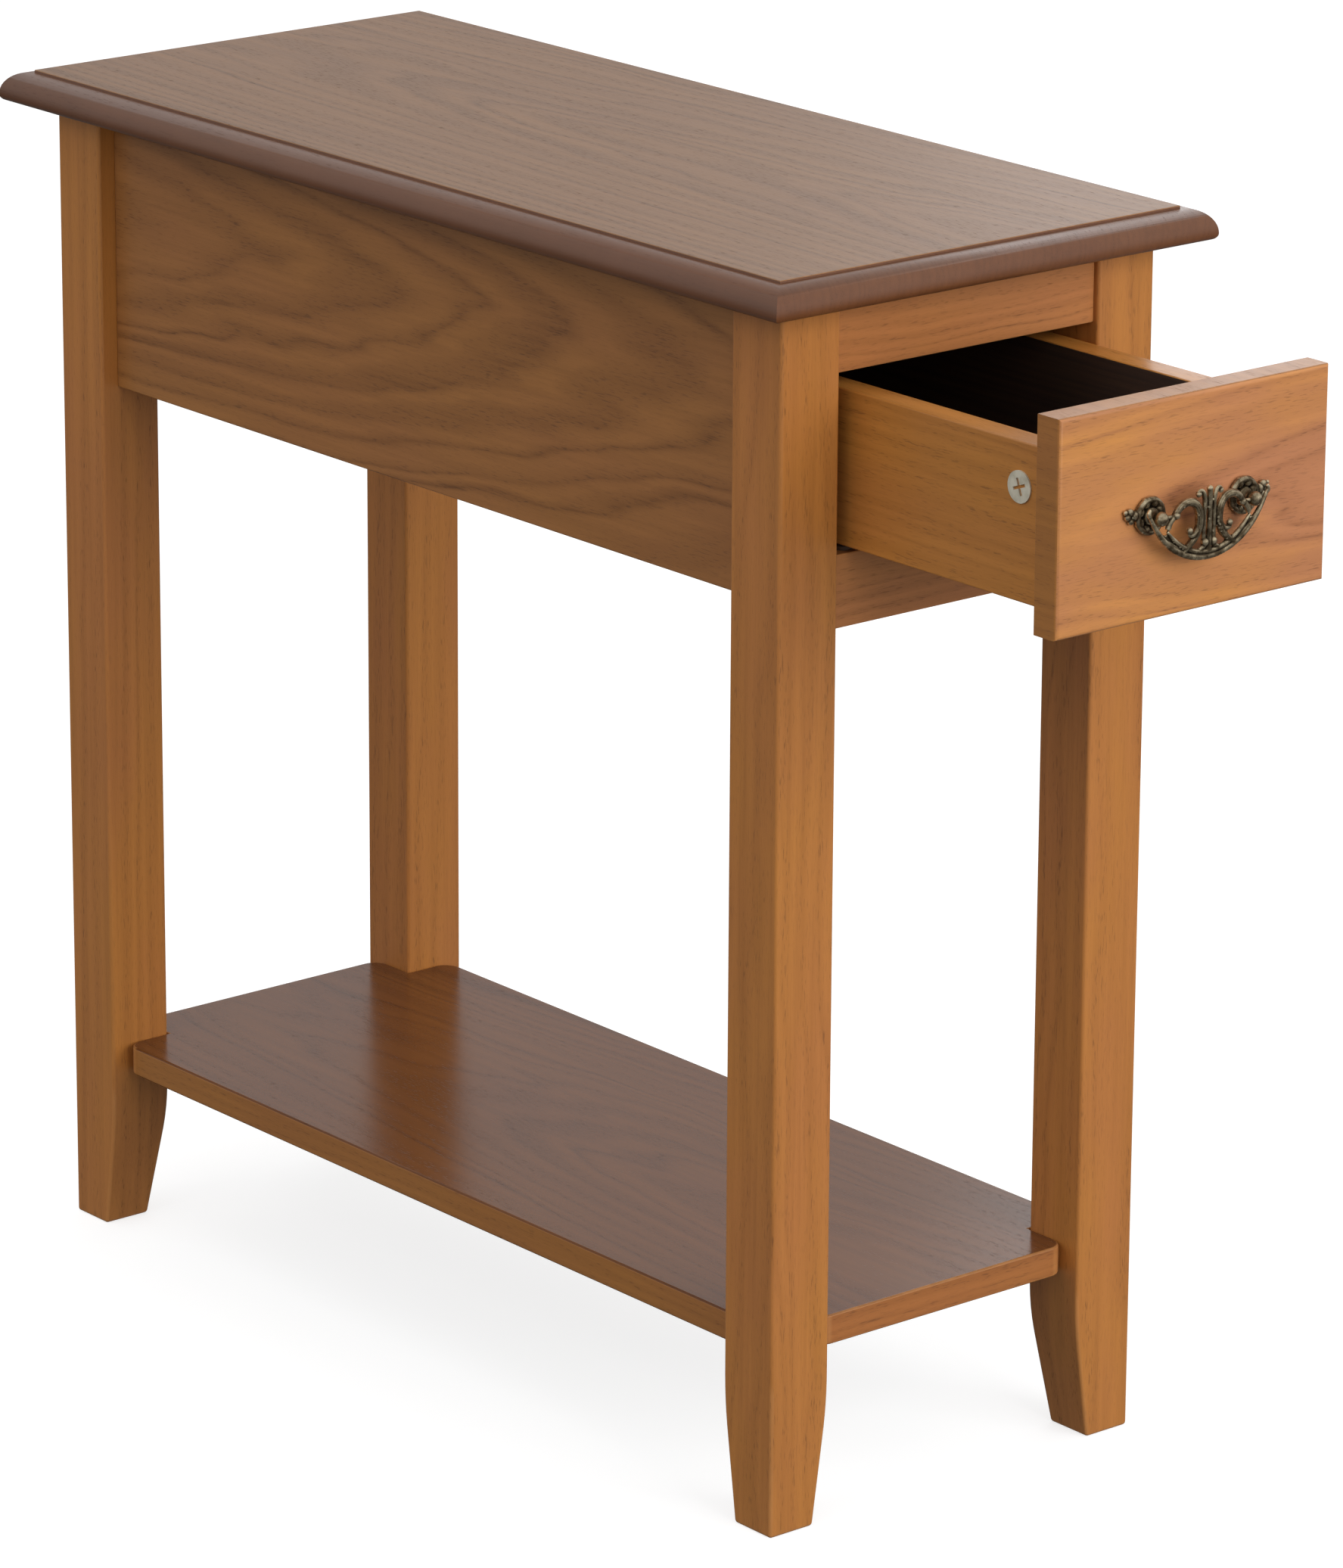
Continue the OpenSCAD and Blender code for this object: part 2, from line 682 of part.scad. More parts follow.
// The guide block hangs under the drawer bottom, with its tongue in the track
module drawer_guide() {
    tongue_w = track_w - 2 * track_t - 2 * guide_gap;
    tongue_z = lower_rail_top + track_t + guide_gap;
    color("#efece2") in_drawer() difference() {
        union() {
            translate([-flange_w / 2, box_back_y - guide_l, guide_flange_z])
                cube([flange_w, guide_l, bottom_z - guide_flange_z]);
            translate([-tongue_w / 2, box_back_y - guide_l, tongue_z])
                cube([tongue_w, guide_l, bottom_z - tongue_z]);
        }
        guide_screw_set(fit);
    }
}

module guide_screw_set(gap = 0) {
    for (sx = SIDES) sunk_screw([sx * guide_screw_x, box_back_y - box_back_t / 2, guide_flange_z], [0, 0, 1],
        bottom_z - guide_flange_z + bottom_t + guide_screw_bite, gap);
}

module guide_screws() { color("#b9bbbd") in_drawer() guide_screw_set(); }

// ---- bail handle ---------------------------------------------------------------

module handle_screw_set(gap = 0) {
    for (sx = SIDES)
        screw([sx * post_x, front_back_y, pivot_z], [0, -1, 0], front_t + handle_screw_bite, gap);
}

module handle_screws() { color("#b9bbbd") in_drawer() handle_screw_set(); }

// One cast post: a dished rosette with a leaf outside it, a neck and a bored ball head
module handle_post(sx) {
    leaf_r = 11;
    leaf_w = 3.5;
    lip_r = 1.5;
    dish_z = 1.2;
    color("#6f665c") in_drawer() difference() {
        union() {
            along([sx * post_x, front_face_y, pivot_z], [0, -1, 0]) {
                rotate_extrude() polygon(concat(
                    [[0, 0], [rosette_r - lip_r, 0]],
                    arc([rosette_r - lip_r, rosette_h - lip_r], lip_r, -60, 90, 5),
                    [[rosette_r - 2 * lip_r, dish_z + 1], [boss_r, dish_z], [boss_r, boss_h],
                     [neck_r, boss_h + boss_r - neck_r], [neck_r, pivot_out], [0, pivot_out]]));
                translate([0, 0, pivot_out]) sphere(ball_r);
            }
            translate([sx * (post_x + rosette_r - leaf_w), front_face_y, pivot_z + 2]) rotate([90, 0, 0])
                linear_extrude(dish_z + 1) intersection() {
                    translate([0, leaf_r - leaf_w]) circle(leaf_r);
                    translate([0, leaf_w - leaf_r]) circle(leaf_r);
                    translate([sx * leaf_r / 2, 0]) square([1.4 * leaf_r, 2 * leaf_w], center = true);
                }
        }
        along([sx * (post_x - ball_r - 1), pivot_y, pivot_z], [sx, 0, 0])
            cylinder(r = pin_d / 2 + pin_gap, h = ball_r + 2);
        handle_screw_set(fit);
    }
}

module handle_post_left() { handle_post(-1); }
module handle_post_right() { handle_post(1); }

// The bail's face, with the pivot line at 0: a rim that widens into a crescent under
// the posts, two scrolls on lugs that carry the pins, and a middle stem with a curled head
module bail_outline() {
    web_top = -ball_r - rim_gap - 1;
    scroll_x = eye_x - bail_lug_l - scroll_r + scroll_w / 2;
    intersection() {
        translate([0, rim_in_z]) difference() {
            circle(rim_r_in + rim_w, $fn = 96);
            circle(rim_r_in, $fn = 96);
        }
        translate([-2 * post_x, -2 * bail_drop]) square([4 * post_x, 2 * bail_drop + rim_top]);
    }
    intersection() {
        difference() {
            translate([0, rim_in_z]) circle(rim_r_in + rim_w / 2, $fn = 96);
            translate([0, inner_arc_r - bail_drop + rim_w + scroll_w]) circle(inner_arc_r, $fn = 96);
        }
        translate([-2 * post_x, -2 * bail_drop]) square([4 * post_x, 2 * bail_drop + web_top]);
    }
    for (sx = SIDES) {
        translate([sx * scroll_x, scroll_z]) difference() {
            circle(scroll_r);
            circle(scroll_r - scroll_w);
        }
        translate([sx * (scroll_x + scroll_r / 2), 0]) circle(bead_r);
        translate([sx * scroll_r * 0.7, scroll_z - scroll_r - 1]) circle(bead_r + 1.4);
        translate([sx * (eye_x - bail_lug_l / 2 - 1), 0]) square([bail_lug_l + 2, 2 * pin_d], center = true);
        translate([sx * (eye_x - scroll_w / 2), web_top / 2 - 1])
            square([scroll_w, 2 - web_top], center = true);
        translate([sx * (stem_w - 0.8), stem_top - 1]) circle(bead_r);
    }
    translate([-stem_w / 2, 1 - bail_drop]) square([stem_w, bail_drop - 1 + stem_top]);
}

module handle_bail() {
    color("#857a6c") in_drawer() translate([0, pivot_y, pivot_z]) {
        prism_along_y(bail_t) bail_outline();
        for (sx = SIDES) along([sx * (eye_x - bail_lug_l), 0, 0], [sx, 0, 0])
            cylinder(d = pin_d, h = bail_lug_l + rim_gap + 0.6 * ball_r);
    }
}

tabletop();
leg_front_left();
leg_front_right();
leg_back_left();
leg_back_right();
side_panel_left();
side_panel_right();
back_panel();
front_top_rail();
front_lower_rail();
shelf();
top_cleat_left();
top_cleat_right();
top_screws();
cleat_screws();
case_dowels();
case_cam_locks();
case_cam_bolts();
drawer_track();
track_socket();
track_screws();
rail_glides();
drawer_front();
drawer_side_left();
drawer_side_right();
drawer_back();
drawer_bottom();
drawer_cam_locks();
drawer_cam_bolts();
drawer_dowels();
drawer_back_screws();
drawer_guide();
guide_screws();
handle_post_left();
handle_post_right();
handle_screws();
handle_bail();
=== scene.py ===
"""The looks of a narrow side table with one lipped drawer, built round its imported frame."""

import json
import logging
import math
from dataclasses import dataclass
from enum import Enum
from typing import Callable, Iterable, List, Sequence, Tuple, Union

import bmesh
import bpy
from mathutils import Matrix, Vector

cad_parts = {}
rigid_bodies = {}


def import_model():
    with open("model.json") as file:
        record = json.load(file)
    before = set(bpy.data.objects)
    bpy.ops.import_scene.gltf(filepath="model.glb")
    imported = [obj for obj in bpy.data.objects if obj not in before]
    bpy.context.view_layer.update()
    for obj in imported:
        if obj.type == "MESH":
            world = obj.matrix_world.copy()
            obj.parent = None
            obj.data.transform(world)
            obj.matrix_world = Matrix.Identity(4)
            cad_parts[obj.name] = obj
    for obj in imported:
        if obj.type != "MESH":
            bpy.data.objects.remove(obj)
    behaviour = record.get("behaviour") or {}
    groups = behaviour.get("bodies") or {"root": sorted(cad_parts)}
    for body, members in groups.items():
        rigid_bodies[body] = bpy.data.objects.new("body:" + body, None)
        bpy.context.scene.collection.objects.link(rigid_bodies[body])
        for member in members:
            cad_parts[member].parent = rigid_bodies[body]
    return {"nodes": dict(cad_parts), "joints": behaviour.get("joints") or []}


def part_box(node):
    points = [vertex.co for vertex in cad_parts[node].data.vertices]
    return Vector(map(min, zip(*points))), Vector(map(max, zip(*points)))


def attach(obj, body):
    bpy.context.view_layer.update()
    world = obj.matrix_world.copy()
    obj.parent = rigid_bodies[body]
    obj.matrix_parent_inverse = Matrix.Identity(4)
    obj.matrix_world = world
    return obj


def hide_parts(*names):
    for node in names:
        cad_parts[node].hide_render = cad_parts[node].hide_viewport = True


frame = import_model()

LOG = logging.getLogger("side_table")
MM = 0.001
# Mesh mark for the paler rounded edges: partly rubbed finish, partly painted highlight.
WEAR_AND_HIGHLIGHT = "edge_wear_and_highlight"
LEFT, RIGHT = -1, 1

Socket = bpy.types.NodeSocket
Object = bpy.types.Object
Colour = Tuple[float, float, float]
Point = Tuple[float, float, float]
Flat = Tuple[float, float]
Outline = List[Flat]


def srgb(red: int, green: int, blue: int) -> Colour:
    """Turn a colour as mixed on a screen, 0 to 255, into linear light."""
    linear = []
    for value in (red, green, blue):
        share = value / 255
        linear.append(share / 12.92 if share <= 0.04045 else ((share + 0.055) / 1.055) ** 2.4)
    return linear[0], linear[1], linear[2]


# ---- bench: the modelling steps that every piece uses ---------------------------


@dataclass(frozen=True)
class Span:
    """A box with its faces square to the frame, in metres."""

    low: Vector
    high: Vector

    @classmethod
    def of_node(cls, node: str) -> "Span":
        """Take the box of a node of the frame."""
        low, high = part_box(node)
        return cls(low, high)

    @property
    def middle(self) -> Vector:
        """The centre of the box."""
        return (self.low + self.high) / 2

    @property
    def size(self) -> Vector:
        """The box's size along each axis."""
        return self.high - self.low


@dataclass(frozen=True)
class Ring:
    """One level of a stack: a rectangle and its height."""

    x0: float
    x1: float
    y0: float
    y1: float
    z: float


def deselect_all() -> None:
    """Leave edit mode and deselect every object."""
    if bpy.context.object and bpy.context.object.mode != "OBJECT":
        bpy.ops.object.mode_set(mode="OBJECT")
    for other in bpy.context.scene.objects:
        other.select_set(False)


def pick(piece: Object) -> None:
    """Make a piece the only selected and active object."""
    deselect_all()
    piece.select_set(True)
    bpy.context.view_layer.objects.active = piece


def edit(piece: Object) -> bmesh.types.BMesh:
    """Open a piece in edit mode with nothing selected.

    Args:
        piece: the object to open.

    Returns:
        Its edit mesh, for choosing faces and edges.
    """
    pick(piece)
    bpy.ops.object.mode_set(mode="EDIT")
    bpy.ops.mesh.select_mode(type="FACE")
    bpy.ops.mesh.select_all(action="DESELECT")
    return bmesh.from_edit_mesh(piece.data)


def choose_edges(piece: Object, wanted: Callable[[Vector, Vector], bool]) -> None:
    """Open a piece and select its edges by their middle and direction.

    Args:
        piece: the object to open.
        wanted: says from an edge's middle and unit direction whether to take it.
    """
    mesh = edit(piece)
    bpy.ops.mesh.select_mode(type="EDGE")
    for edge in mesh.edges:
        a, b = edge.verts[0].co, edge.verts[1].co
        if wanted((a + b) / 2, (b - a).normalized()):
            edge.select_set(True)
    bmesh.update_edit_mesh(piece.data)


def bevel_chosen(width: float, segments: int) -> None:
    """Round the selected edges and leave edit mode."""
    bpy.ops.mesh.bevel(
        offset=width, offset_type="OFFSET", segments=segments, affect="EDGES", clamp_overlap=True
    )
    bpy.ops.object.mode_set(mode="OBJECT")


def edit_all() -> None:
    """Open the active piece in edit mode with all of it selected."""
    bpy.ops.object.mode_set(mode="EDIT")
    bpy.ops.mesh.select_all(action="SELECT")


def turn_outwards() -> None:
    """Point every face of the open piece outwards and leave edit mode."""
    bpy.ops.mesh.select_all(action="SELECT")
    bpy.ops.mesh.normals_make_consistent(inside=False)
    bpy.ops.object.mode_set(mode="OBJECT")


def soften(piece: Object, width: float, segments: int, angle: float) -> None:
    """Round every edge of a piece that is sharper than an angle.

    Args:
        piece: the object to soften.
        width: the rounding's width, in metres.
        segments: how many strips each rounding has.
        angle: the least angle between two faces, in degrees, that counts as an edge.
    """
    edit(piece)
    bpy.ops.mesh.select_mode(type="EDGE")
    bpy.ops.mesh.edges_select_sharp(sharpness=math.radians(angle))
    bevel_chosen(width, segments)


def apply_modifier(piece: Object, kind: str, **settings: object) -> None:
    """Add a modifier to a piece, set it and apply it."""
    pick(piece)
    modifier = piece.modifiers.new(kind.title(), kind)
    for name, value in settings.items():
        setattr(modifier, name, value)
    bpy.ops.object.modifier_apply(modifier=modifier.name)


def finish_mesh(piece: Object, angle: float = 35.0) -> None:
    """Point the faces outwards, and shade the piece smooth below an angle in degrees."""
    edit(piece)
    turn_outwards()
    bpy.ops.object.shade_smooth_by_angle(angle=math.radians(angle))
    apply_modifier(piece, "WEIGHTED_NORMAL", keep_sharp=True, weight=80)


def mark_wear_and_highlight(piece: Object, broad: float = 1e-4) -> None:
    """Mark the rounded edges of a piece, where its finish rubs thin and a painted highlight goes.

    Args:
        piece: the object to mark.
        broad: a face at least this large, in square metres, is a flat that gets neither rub nor painted
            highlight.
    """
    mesh = piece.data
    rubbed_highlight = [1.0] * len(mesh.vertices)
    for face in mesh.polygons:
        if face.area > broad:
            for index in face.vertices:
                rubbed_highlight[index] = 0.0
    layer = mesh.attributes.new(WEAR_AND_HIGHLIGHT, "FLOAT", "POINT")
    layer.data.foreach_set("value", rubbed_highlight)


def new_block(name: str, span: Span) -> Object:
    """Add a cube and bring it to a box's size and place in edit mode."""
    deselect_all()
    bpy.ops.mesh.primitive_cube_add(size=1.0)
    piece = bpy.context.object
    piece.name = name
    edit_all()
    bpy.ops.transform.resize(value=tuple(span.size), center_override=(0, 0, 0))
    bpy.ops.transform.translate(value=tuple(span.middle))
    bpy.ops.object.mode_set(mode="OBJECT")
    return piece


def new_stack(name: str, rings: Sequence[Ring]) -> Object:
    """Build a piece by extruding a face from level to level.

    Args:
        name: the piece's name.
        rings: its levels from the bottom up.

    Returns:
        The closed piece.
    """
    deselect_all()
    bpy.ops.mesh.primitive_plane_add(size=1.0)
    piece = bpy.context.object
    piece.name = name
    edit_all()
    level = Ring(-0.5, 0.5, -0.5, 0.5, 0.0)
    for number, ring in enumerate(rings):
        rise = (0.0, 0.0, ring.z - level.z)
        if number:
            bpy.ops.mesh.extrude_region_move(TRANSFORM_OT_translate={"value": rise})
        else:
            bpy.ops.transform.translate(value=rise)
        centre = ((level.x0 + level.x1) / 2, (level.y0 + level.y1) / 2, ring.z)
        grow = ((ring.x1 - ring.x0) / (level.x1 - level.x0), (ring.y1 - ring.y0) / (level.y1 - level.y0), 1.0)
        bpy.ops.transform.resize(value=grow, center_override=centre)
        shift = ((ring.x0 + ring.x1) / 2 - centre[0], (ring.y0 + ring.y1) / 2 - centre[1], 0.0)
        bpy.ops.transform.translate(value=shift)
        level = ring
    turn_outwards()
    return piece


def new_lathe(name: str, profile: Outline, at: Vector, aim: Vector, steps: int) -> Object:
    """Spin a profile into a round piece.

    Args:
        name: the piece's name.
        profile: radius and height pairs, in metres, from the axis at the foot to the axis at the head.
        at: where the foot's centre goes.
        aim: the way the axis points from the foot to the head.
        steps: how many strips go round.

    Returns:
        The closed piece.
    """
    mesh = bpy.data.meshes.new(name)
    piece = bpy.data.objects.new(name, mesh)
    bpy.context.scene.collection.objects.link(piece)
    points = [(radius, 0.0, height) for radius, height in profile]
    mesh.from_pydata(points, [(i, i + 1) for i in range(len(points) - 1)], [])
    pick(piece)
    edit_all()
    bpy.ops.mesh.spin(steps=steps, angle=2 * math.pi, center=(0, 0, 0), axis=(0, 0, 1))
    bpy.ops.mesh.select_all(action="SELECT")
    bpy.ops.mesh.remove_doubles(threshold=1e-6)
    turn_outwards()
    turn = Vector((0, 0, 1)).rotation_difference(aim.normalized()).to_matrix().to_4x4()
    mesh.transform(Matrix.Translation(at) @ turn)
    return piece


def round_profile(centre: Flat, radius: float, start: float, end: float, steps: int) -> Outline:
    """List the points of an arc, from a start to an end angle in degrees."""
    points = []
    for step in range(steps + 1):
        angle = math.radians(start + (end - start) * step / steps)
        points.append((centre[0] + radius * math.cos(angle), centre[1] + radius * math.sin(angle)))
    return points


def join(pieces: Sequence[Object], name: str) -> Object:
    """Join pieces into the first one and name it."""
    pick(pieces[0])
    for piece in pieces[1:]:
        piece.select_set(True)
    if len(pieces) > 1:
        bpy.ops.object.join()
    joined = bpy.context.object
    joined.name = name
    return joined


# ---- finishes -------------------------------------------------------------------


class Signal:
    """A number that a material's nodes work out, and that takes part in sums like a plain one."""

    def __init__(self, graph: "Graph", socket: Socket) -> None:
        """Hold the socket that carries the number."""
        self.graph = graph
        self.socket = socket

    def __add__(self, other: "Number") -> "Signal":
        """Add a number."""
        return self.graph.math("ADD", self, other)

    def __sub__(self, other: "Number") -> "Signal":
        """Take a number away."""
        return self.graph.math("SUBTRACT", self, other)

    def __rsub__(self, other: float) -> "Signal":
        """Take this away from a number."""
        return self.graph.math("SUBTRACT", other, self)

    def __mul__(self, other: "Number") -> "Signal":
        """Multiply by a number."""
        return self.graph.math("MULTIPLY", self, other)

    def __truediv__(self, other: "Number") -> "Signal":
        """Divide by a number."""
        return self.graph.math("DIVIDE", self, other)

    def clamped(self) -> "Signal":
        """Keep the sum just made between 0 and 1."""
        self.socket.node.use_clamp = True
        return self


Number = Union[float, Signal]
Axes = Tuple[Signal, Signal, Signal]
Stops = Sequence[Flat]


class Grain(Enum):
    """Which axes run along the grain, across the board's face and into the board."""

    TOP = (1, 0, 2)
    SIDE = (1, 2, 0)
    FRONT = (0, 2, 1)
    UPRIGHT = (2, 0, 1)


class Graph:
    """A material's nodes, added and joined one after another."""

    def __init__(self, name: str) -> None:
        """Start an empty material with a principled shader."""
        self.material = bpy.data.materials.new(name)
        self.material.use_nodes = True
        self.tree = self.material.node_tree
        self.tree.nodes.clear()
        output = self.tree.nodes.new("ShaderNodeOutputMaterial")
        self.shader = self.tree.nodes.new("ShaderNodeBsdfPrincipled")
        self.tree.links.new(self.shader.outputs[0], output.inputs["Surface"])

    def feed(self, socket: Socket, value: object) -> None:
        """Link a socket to a signal, or set it to a number or a colour."""
        if isinstance(value, Signal):
            self.tree.links.new(value.socket, socket)
        elif isinstance(value, tuple):
            socket.default_value = (*value, 1.0)
        else:
            socket.default_value = value

    def math(self, kind: str, first: Number, second: Number = 0.0) -> Signal:
        """Add a math node of a kind, such as MULTIPLY, and give its result."""
        node = self.tree.nodes.new("ShaderNodeMath")
        node.operation = kind
        self.feed(node.inputs[0], first)
        self.feed(node.inputs[1], second)
        return Signal(self, node.outputs[0])

    def place(self) -> Signal:
        """Give the object's coordinates as one vector."""
        return Signal(self, self.tree.nodes.new("ShaderNodeTexCoord").outputs["Object"])

    def axes(self, grain: Grain) -> Axes:
        """Give the coordinates along the grain, across the face and into the board."""
        split = self.tree.nodes.new("ShaderNodeSeparateXYZ")
        self.feed(split.inputs[0], self.place())
        along, across, deep = (Signal(self, split.outputs[index]) for index in grain.value)
        return along, across, deep

    def vector(self, x: Number, y: Number, z: Number) -> Signal:
        """Put three numbers together as a vector."""
        node = self.tree.nodes.new("ShaderNodeCombineXYZ")
        for socket, value in zip(node.inputs, (x, y, z)):
            self.feed(socket, value)
        return Signal(self, node.outputs[0])

    def stretched(self, axes: Axes, repeats: Flat) -> Signal:
        """Scale the grain's axes by a feature's repeats along the grain and across it."""
        along, across, deep = axes
        return self.vector(along * repeats[0], across * repeats[1], deep * repeats[1])

    def noise(self, where: Signal, scale: float = 1.0, detail: float = 2.0, rough: float = 0.5) -> Signal:
        """Add a noise texture.

        Args:
            where: the vector it is read at.
            scale: how many features there are in a unit.
            detail: how many finer layers are added.
            rough: how strong the finer layers are.

        Returns:
            The noise, about 0 to 1.
        """
        node = self.tree.nodes.new("ShaderNodeTexNoise")
        self.feed(node.inputs["Vector"], where)
        node.inputs["Scale"].default_value = scale
        node.inputs["Detail"].default_value = detail
        node.inputs["Roughness"].default_value = rough
        return Signal(self, node.outputs[0])

    def curve(self, value: Signal, stops: Stops) -> Signal:
        """Map a number from 0 to 1 through a ramp, given as pairs of a place and its grey."""
        node = self.tree.nodes.new("ShaderNodeValToRGB")
        ramp = node.color_ramp
        while len(ramp.elements) < len(stops):
            ramp.elements.new(0.5)
        for element, (place, grey) in zip(ramp.elements, stops):
            element.position = place
            element.color = (grey, grey, grey, 1.0)
        self.feed(node.inputs[0], value)
        return Signal(self, node.outputs[0])

    def step(self, value: Signal, low: float, high: float) -> Signal:
        """Rise from 0 to 1 while a number goes from a low to a high one."""
        return self.curve(value, [(0.0, 0.0), (low, 0.0), (high, 1.0), (1.0, 1.0)])

    def blend(self, share: Number, first: object, second: object) -> Signal:
        """Mix two colours by a share of the second one."""
        node = self.tree.nodes.new("ShaderNodeMix")
        node.data_type = "RGBA"
        share_in, first_in, second_in = node.inputs[0], node.inputs[6], node.inputs[7]
        self.feed(share_in, share)
        self.feed(first_in, first)
        self.feed(second_in, second)
        return Signal(self, node.outputs[2])

    def attribute(self, name: str) -> Signal:
        """Read a number stored on the mesh."""
        node = self.tree.nodes.new("ShaderNodeAttribute")
        node.attribute_name = name
        return Signal(self, node.outputs["Fac"])

    def raised(self) -> Signal:
        """Give how much each point stands up from its surroundings, about 0.5 on a flat."""
        return Signal(self, self.tree.nodes.new("ShaderNodeNewGeometry").outputs["Pointiness"])

    def bump(self, height: Signal, strength: float, distance: float) -> None:
        """Bend the shader's normals by a height."""
        node = self.tree.nodes.new("ShaderNodeBump")
        node.inputs["Strength"].default_value = strength
        node.inputs["Distance"].default_value = distance
        self.feed(node.inputs["Height"], height)
        self.feed(self.shader.inputs["Normal"], Signal(self, node.outputs[0]))

    def set(self, **values: object) -> None:
        """Set or link the shader's own sockets, such as Base_Color."""
        for name, value in values.items():
            self.feed(self.shader.inputs[name.replace("_", " ")], value)


# How many times a feature of the wood repeats in a metre, along the grain and across it.
SWAY = (2.6, 13.0)
RIPPLE = (14.0, 60.0)
STREAK = (5.0, 210.0)
FIBRE = (9.0, 520.0)
VESSEL = (170.0, 1500.0)
STAIN = (7.0, 24.0)
RUB_AND_HIGHLIGHT = 35.0
PLAIN_FIBRE = (12.0, 420.0)
PLAIN_BAND = (3.0, 70.0)


@dataclass(frozen=True)
class OakFinish:
    """Stained and lacquered oak, with its growth rings cut by the board's face.

    The rings lie round a heart line that runs along the grain, at heart_across on the face
    and heart_deep behind it, and that leans by lean so that the face shows flame figure.
    """

    name: str
    grain: Grain
    light: Colour
    dark: Colour
    blush: Colour
    heart_across: float
    heart_deep: float
    lean: float
    spacing: float
    figure: float
    coat: float = 0.1
    wander: float = 0.012
    blotch: float = 0.5
    gloss_rough: float = 0.36
    gloss_index: float = 1.46
    coat_rough: float = 0.2
    # Paler edge colour: partly rubbed finish, partly a painted highlight.
    rubbed_highlight: Colour = srgb(196, 138, 84)
    rubbed_highlight_share: float = 0.45
    pore: Colour = srgb(52, 28, 14)
    pore_share: float = 0.38
    ripple_depth: float = 4.5 * MM
    uneven_years: float = 2.4

    def rings(self, graph: Graph, axes: Axes) -> Tuple[Signal, Signal]:
        """Work out where the growth rings' dark late wood lies.

        Args:
            graph: the material's nodes.
            axes: its coordinates along the grain, across the face and into the board.

        Returns:
            How late in its year the wood is, and how strongly that year's ring shows.
        """
        along, across, deep = axes
        sway = graph.noise(graph.stretched(axes, SWAY), detail=3.0, rough=0.55) - 0.5
        ripple = graph.noise(graph.stretched(axes, RIPPLE)) - 0.5
        beside = across - self.heart_across + sway * (2 * self.wander)
        behind = deep - self.heart_deep + along * self.lean + sway * (3 * self.wander)
        radius = graph.math("SQRT", beside * beside + behind * behind) + ripple * self.ripple_depth
        count = radius / self.spacing
        season = graph.noise(graph.vector(count * 0.45, 0.0, 0.0), detail=1.0)
        year = graph.math("FRACT", count + season * self.uneven_years)
        lateness = [(0.0, 0.55), (0.14, 0.10), (0.40, 0.0), (0.72, 0.55), (0.90, 1.0), (1.0, 0.55)]
        strength = [(0.0, 0.35), (0.40, 0.45), (0.58, 1.0), (1.0, 1.0)]
        return graph.curve(year, lateness), graph.curve(season, strength)

    def build(self) -> bpy.types.Material:
        """Make the material."""
        graph = Graph(self.name)
        axes = graph.axes(self.grain)
        late, vigour = self.rings(graph, axes)
        streak = graph.noise(graph.stretched(axes, STREAK), detail=4.0, rough=0.65)
        fibre = graph.noise(graph.stretched(axes, FIBRE), detail=3.0, rough=0.6)
        pores = graph.step(graph.noise(graph.stretched(axes, VESSEL), detail=1.0), 0.57, 0.70)
        pores = (pores * (late * 0.75 + 0.25)).clamped()
        stain = graph.step(graph.noise(graph.stretched(axes, STAIN), detail=3.0), 0.38, 0.66)
        broken = graph.curve(streak, [(0.0, 0.15), (0.36, 0.25), (0.60, 1.0), (1.0, 1.0)])
        line = (late * (broken * (fibre + 0.45)) * (vigour * self.figure)).clamped()
        thread = (0.58 - streak).clamped() * 1.1
        along, across, deep = axes
        # Rounded edges are paled: partly rubbed finish, partly a painted highlight along every edge.
        rub_and_highlight = graph.noise(graph.vector(along * RUB_AND_HIGHLIGHT, across * RUB_AND_HIGHLIGHT, deep), detail=4.0, rough=0.7)
        rub_and_highlight = (graph.attribute(WEAR_AND_HIGHLIGHT) * rub_and_highlight * (2 * self.rubbed_highlight_share)).clamped()

        wood = graph.blend(stain * self.blotch, self.light, self.blush)
        wood = graph.blend(line, wood, self.dark)
        wood = graph.blend(thread, wood, self.dark)
        wood = graph.blend(pores * self.pore_share, wood, self.pore)
        wood = graph.blend(rub_and_highlight, wood, self.rubbed_highlight)
        graph.set(Base_Color=wood, Roughness=pores * 0.20 + self.gloss_rough + fibre * 0.06)
        graph.set(IOR=self.gloss_index, Coat_Weight=self.coat, Coat_Roughness=self.coat_rough)
        graph.bump(fibre * 0.35 - pores - line * 0.3, strength=0.22, distance=0.12 * MM)
        return graph.material


@dataclass(frozen=True)
class BareWoodFinish:
    """Plain unlacquered wood or board, for pieces that don't show from outside."""

    name: str
    grain: Grain
    light: Colour
    dark: Colour
    rough: float = 0.7

    def build(self) -> bpy.types.Material:
        """Make the material."""
        graph = Graph(self.name)
        axes = graph.axes(self.grain)
        fibre = graph.noise(graph.stretched(axes, PLAIN_FIBRE), detail=3.0, rough=0.6)
        band = graph.noise(graph.stretched(axes, PLAIN_BAND))
        share = ((fibre + band) * 0.5).clamped()
        share = graph.curve(share, [(0.0, 0.0), (0.35, 0.1), (0.65, 0.9), (1.0, 1.0)])
        graph.set(Base_Color=graph.blend(share, self.light, self.dark), Roughness=fibre * 0.12 + self.rough)
        graph.bump(fibre, strength=0.25, distance=0.15 * MM)
        return graph.material


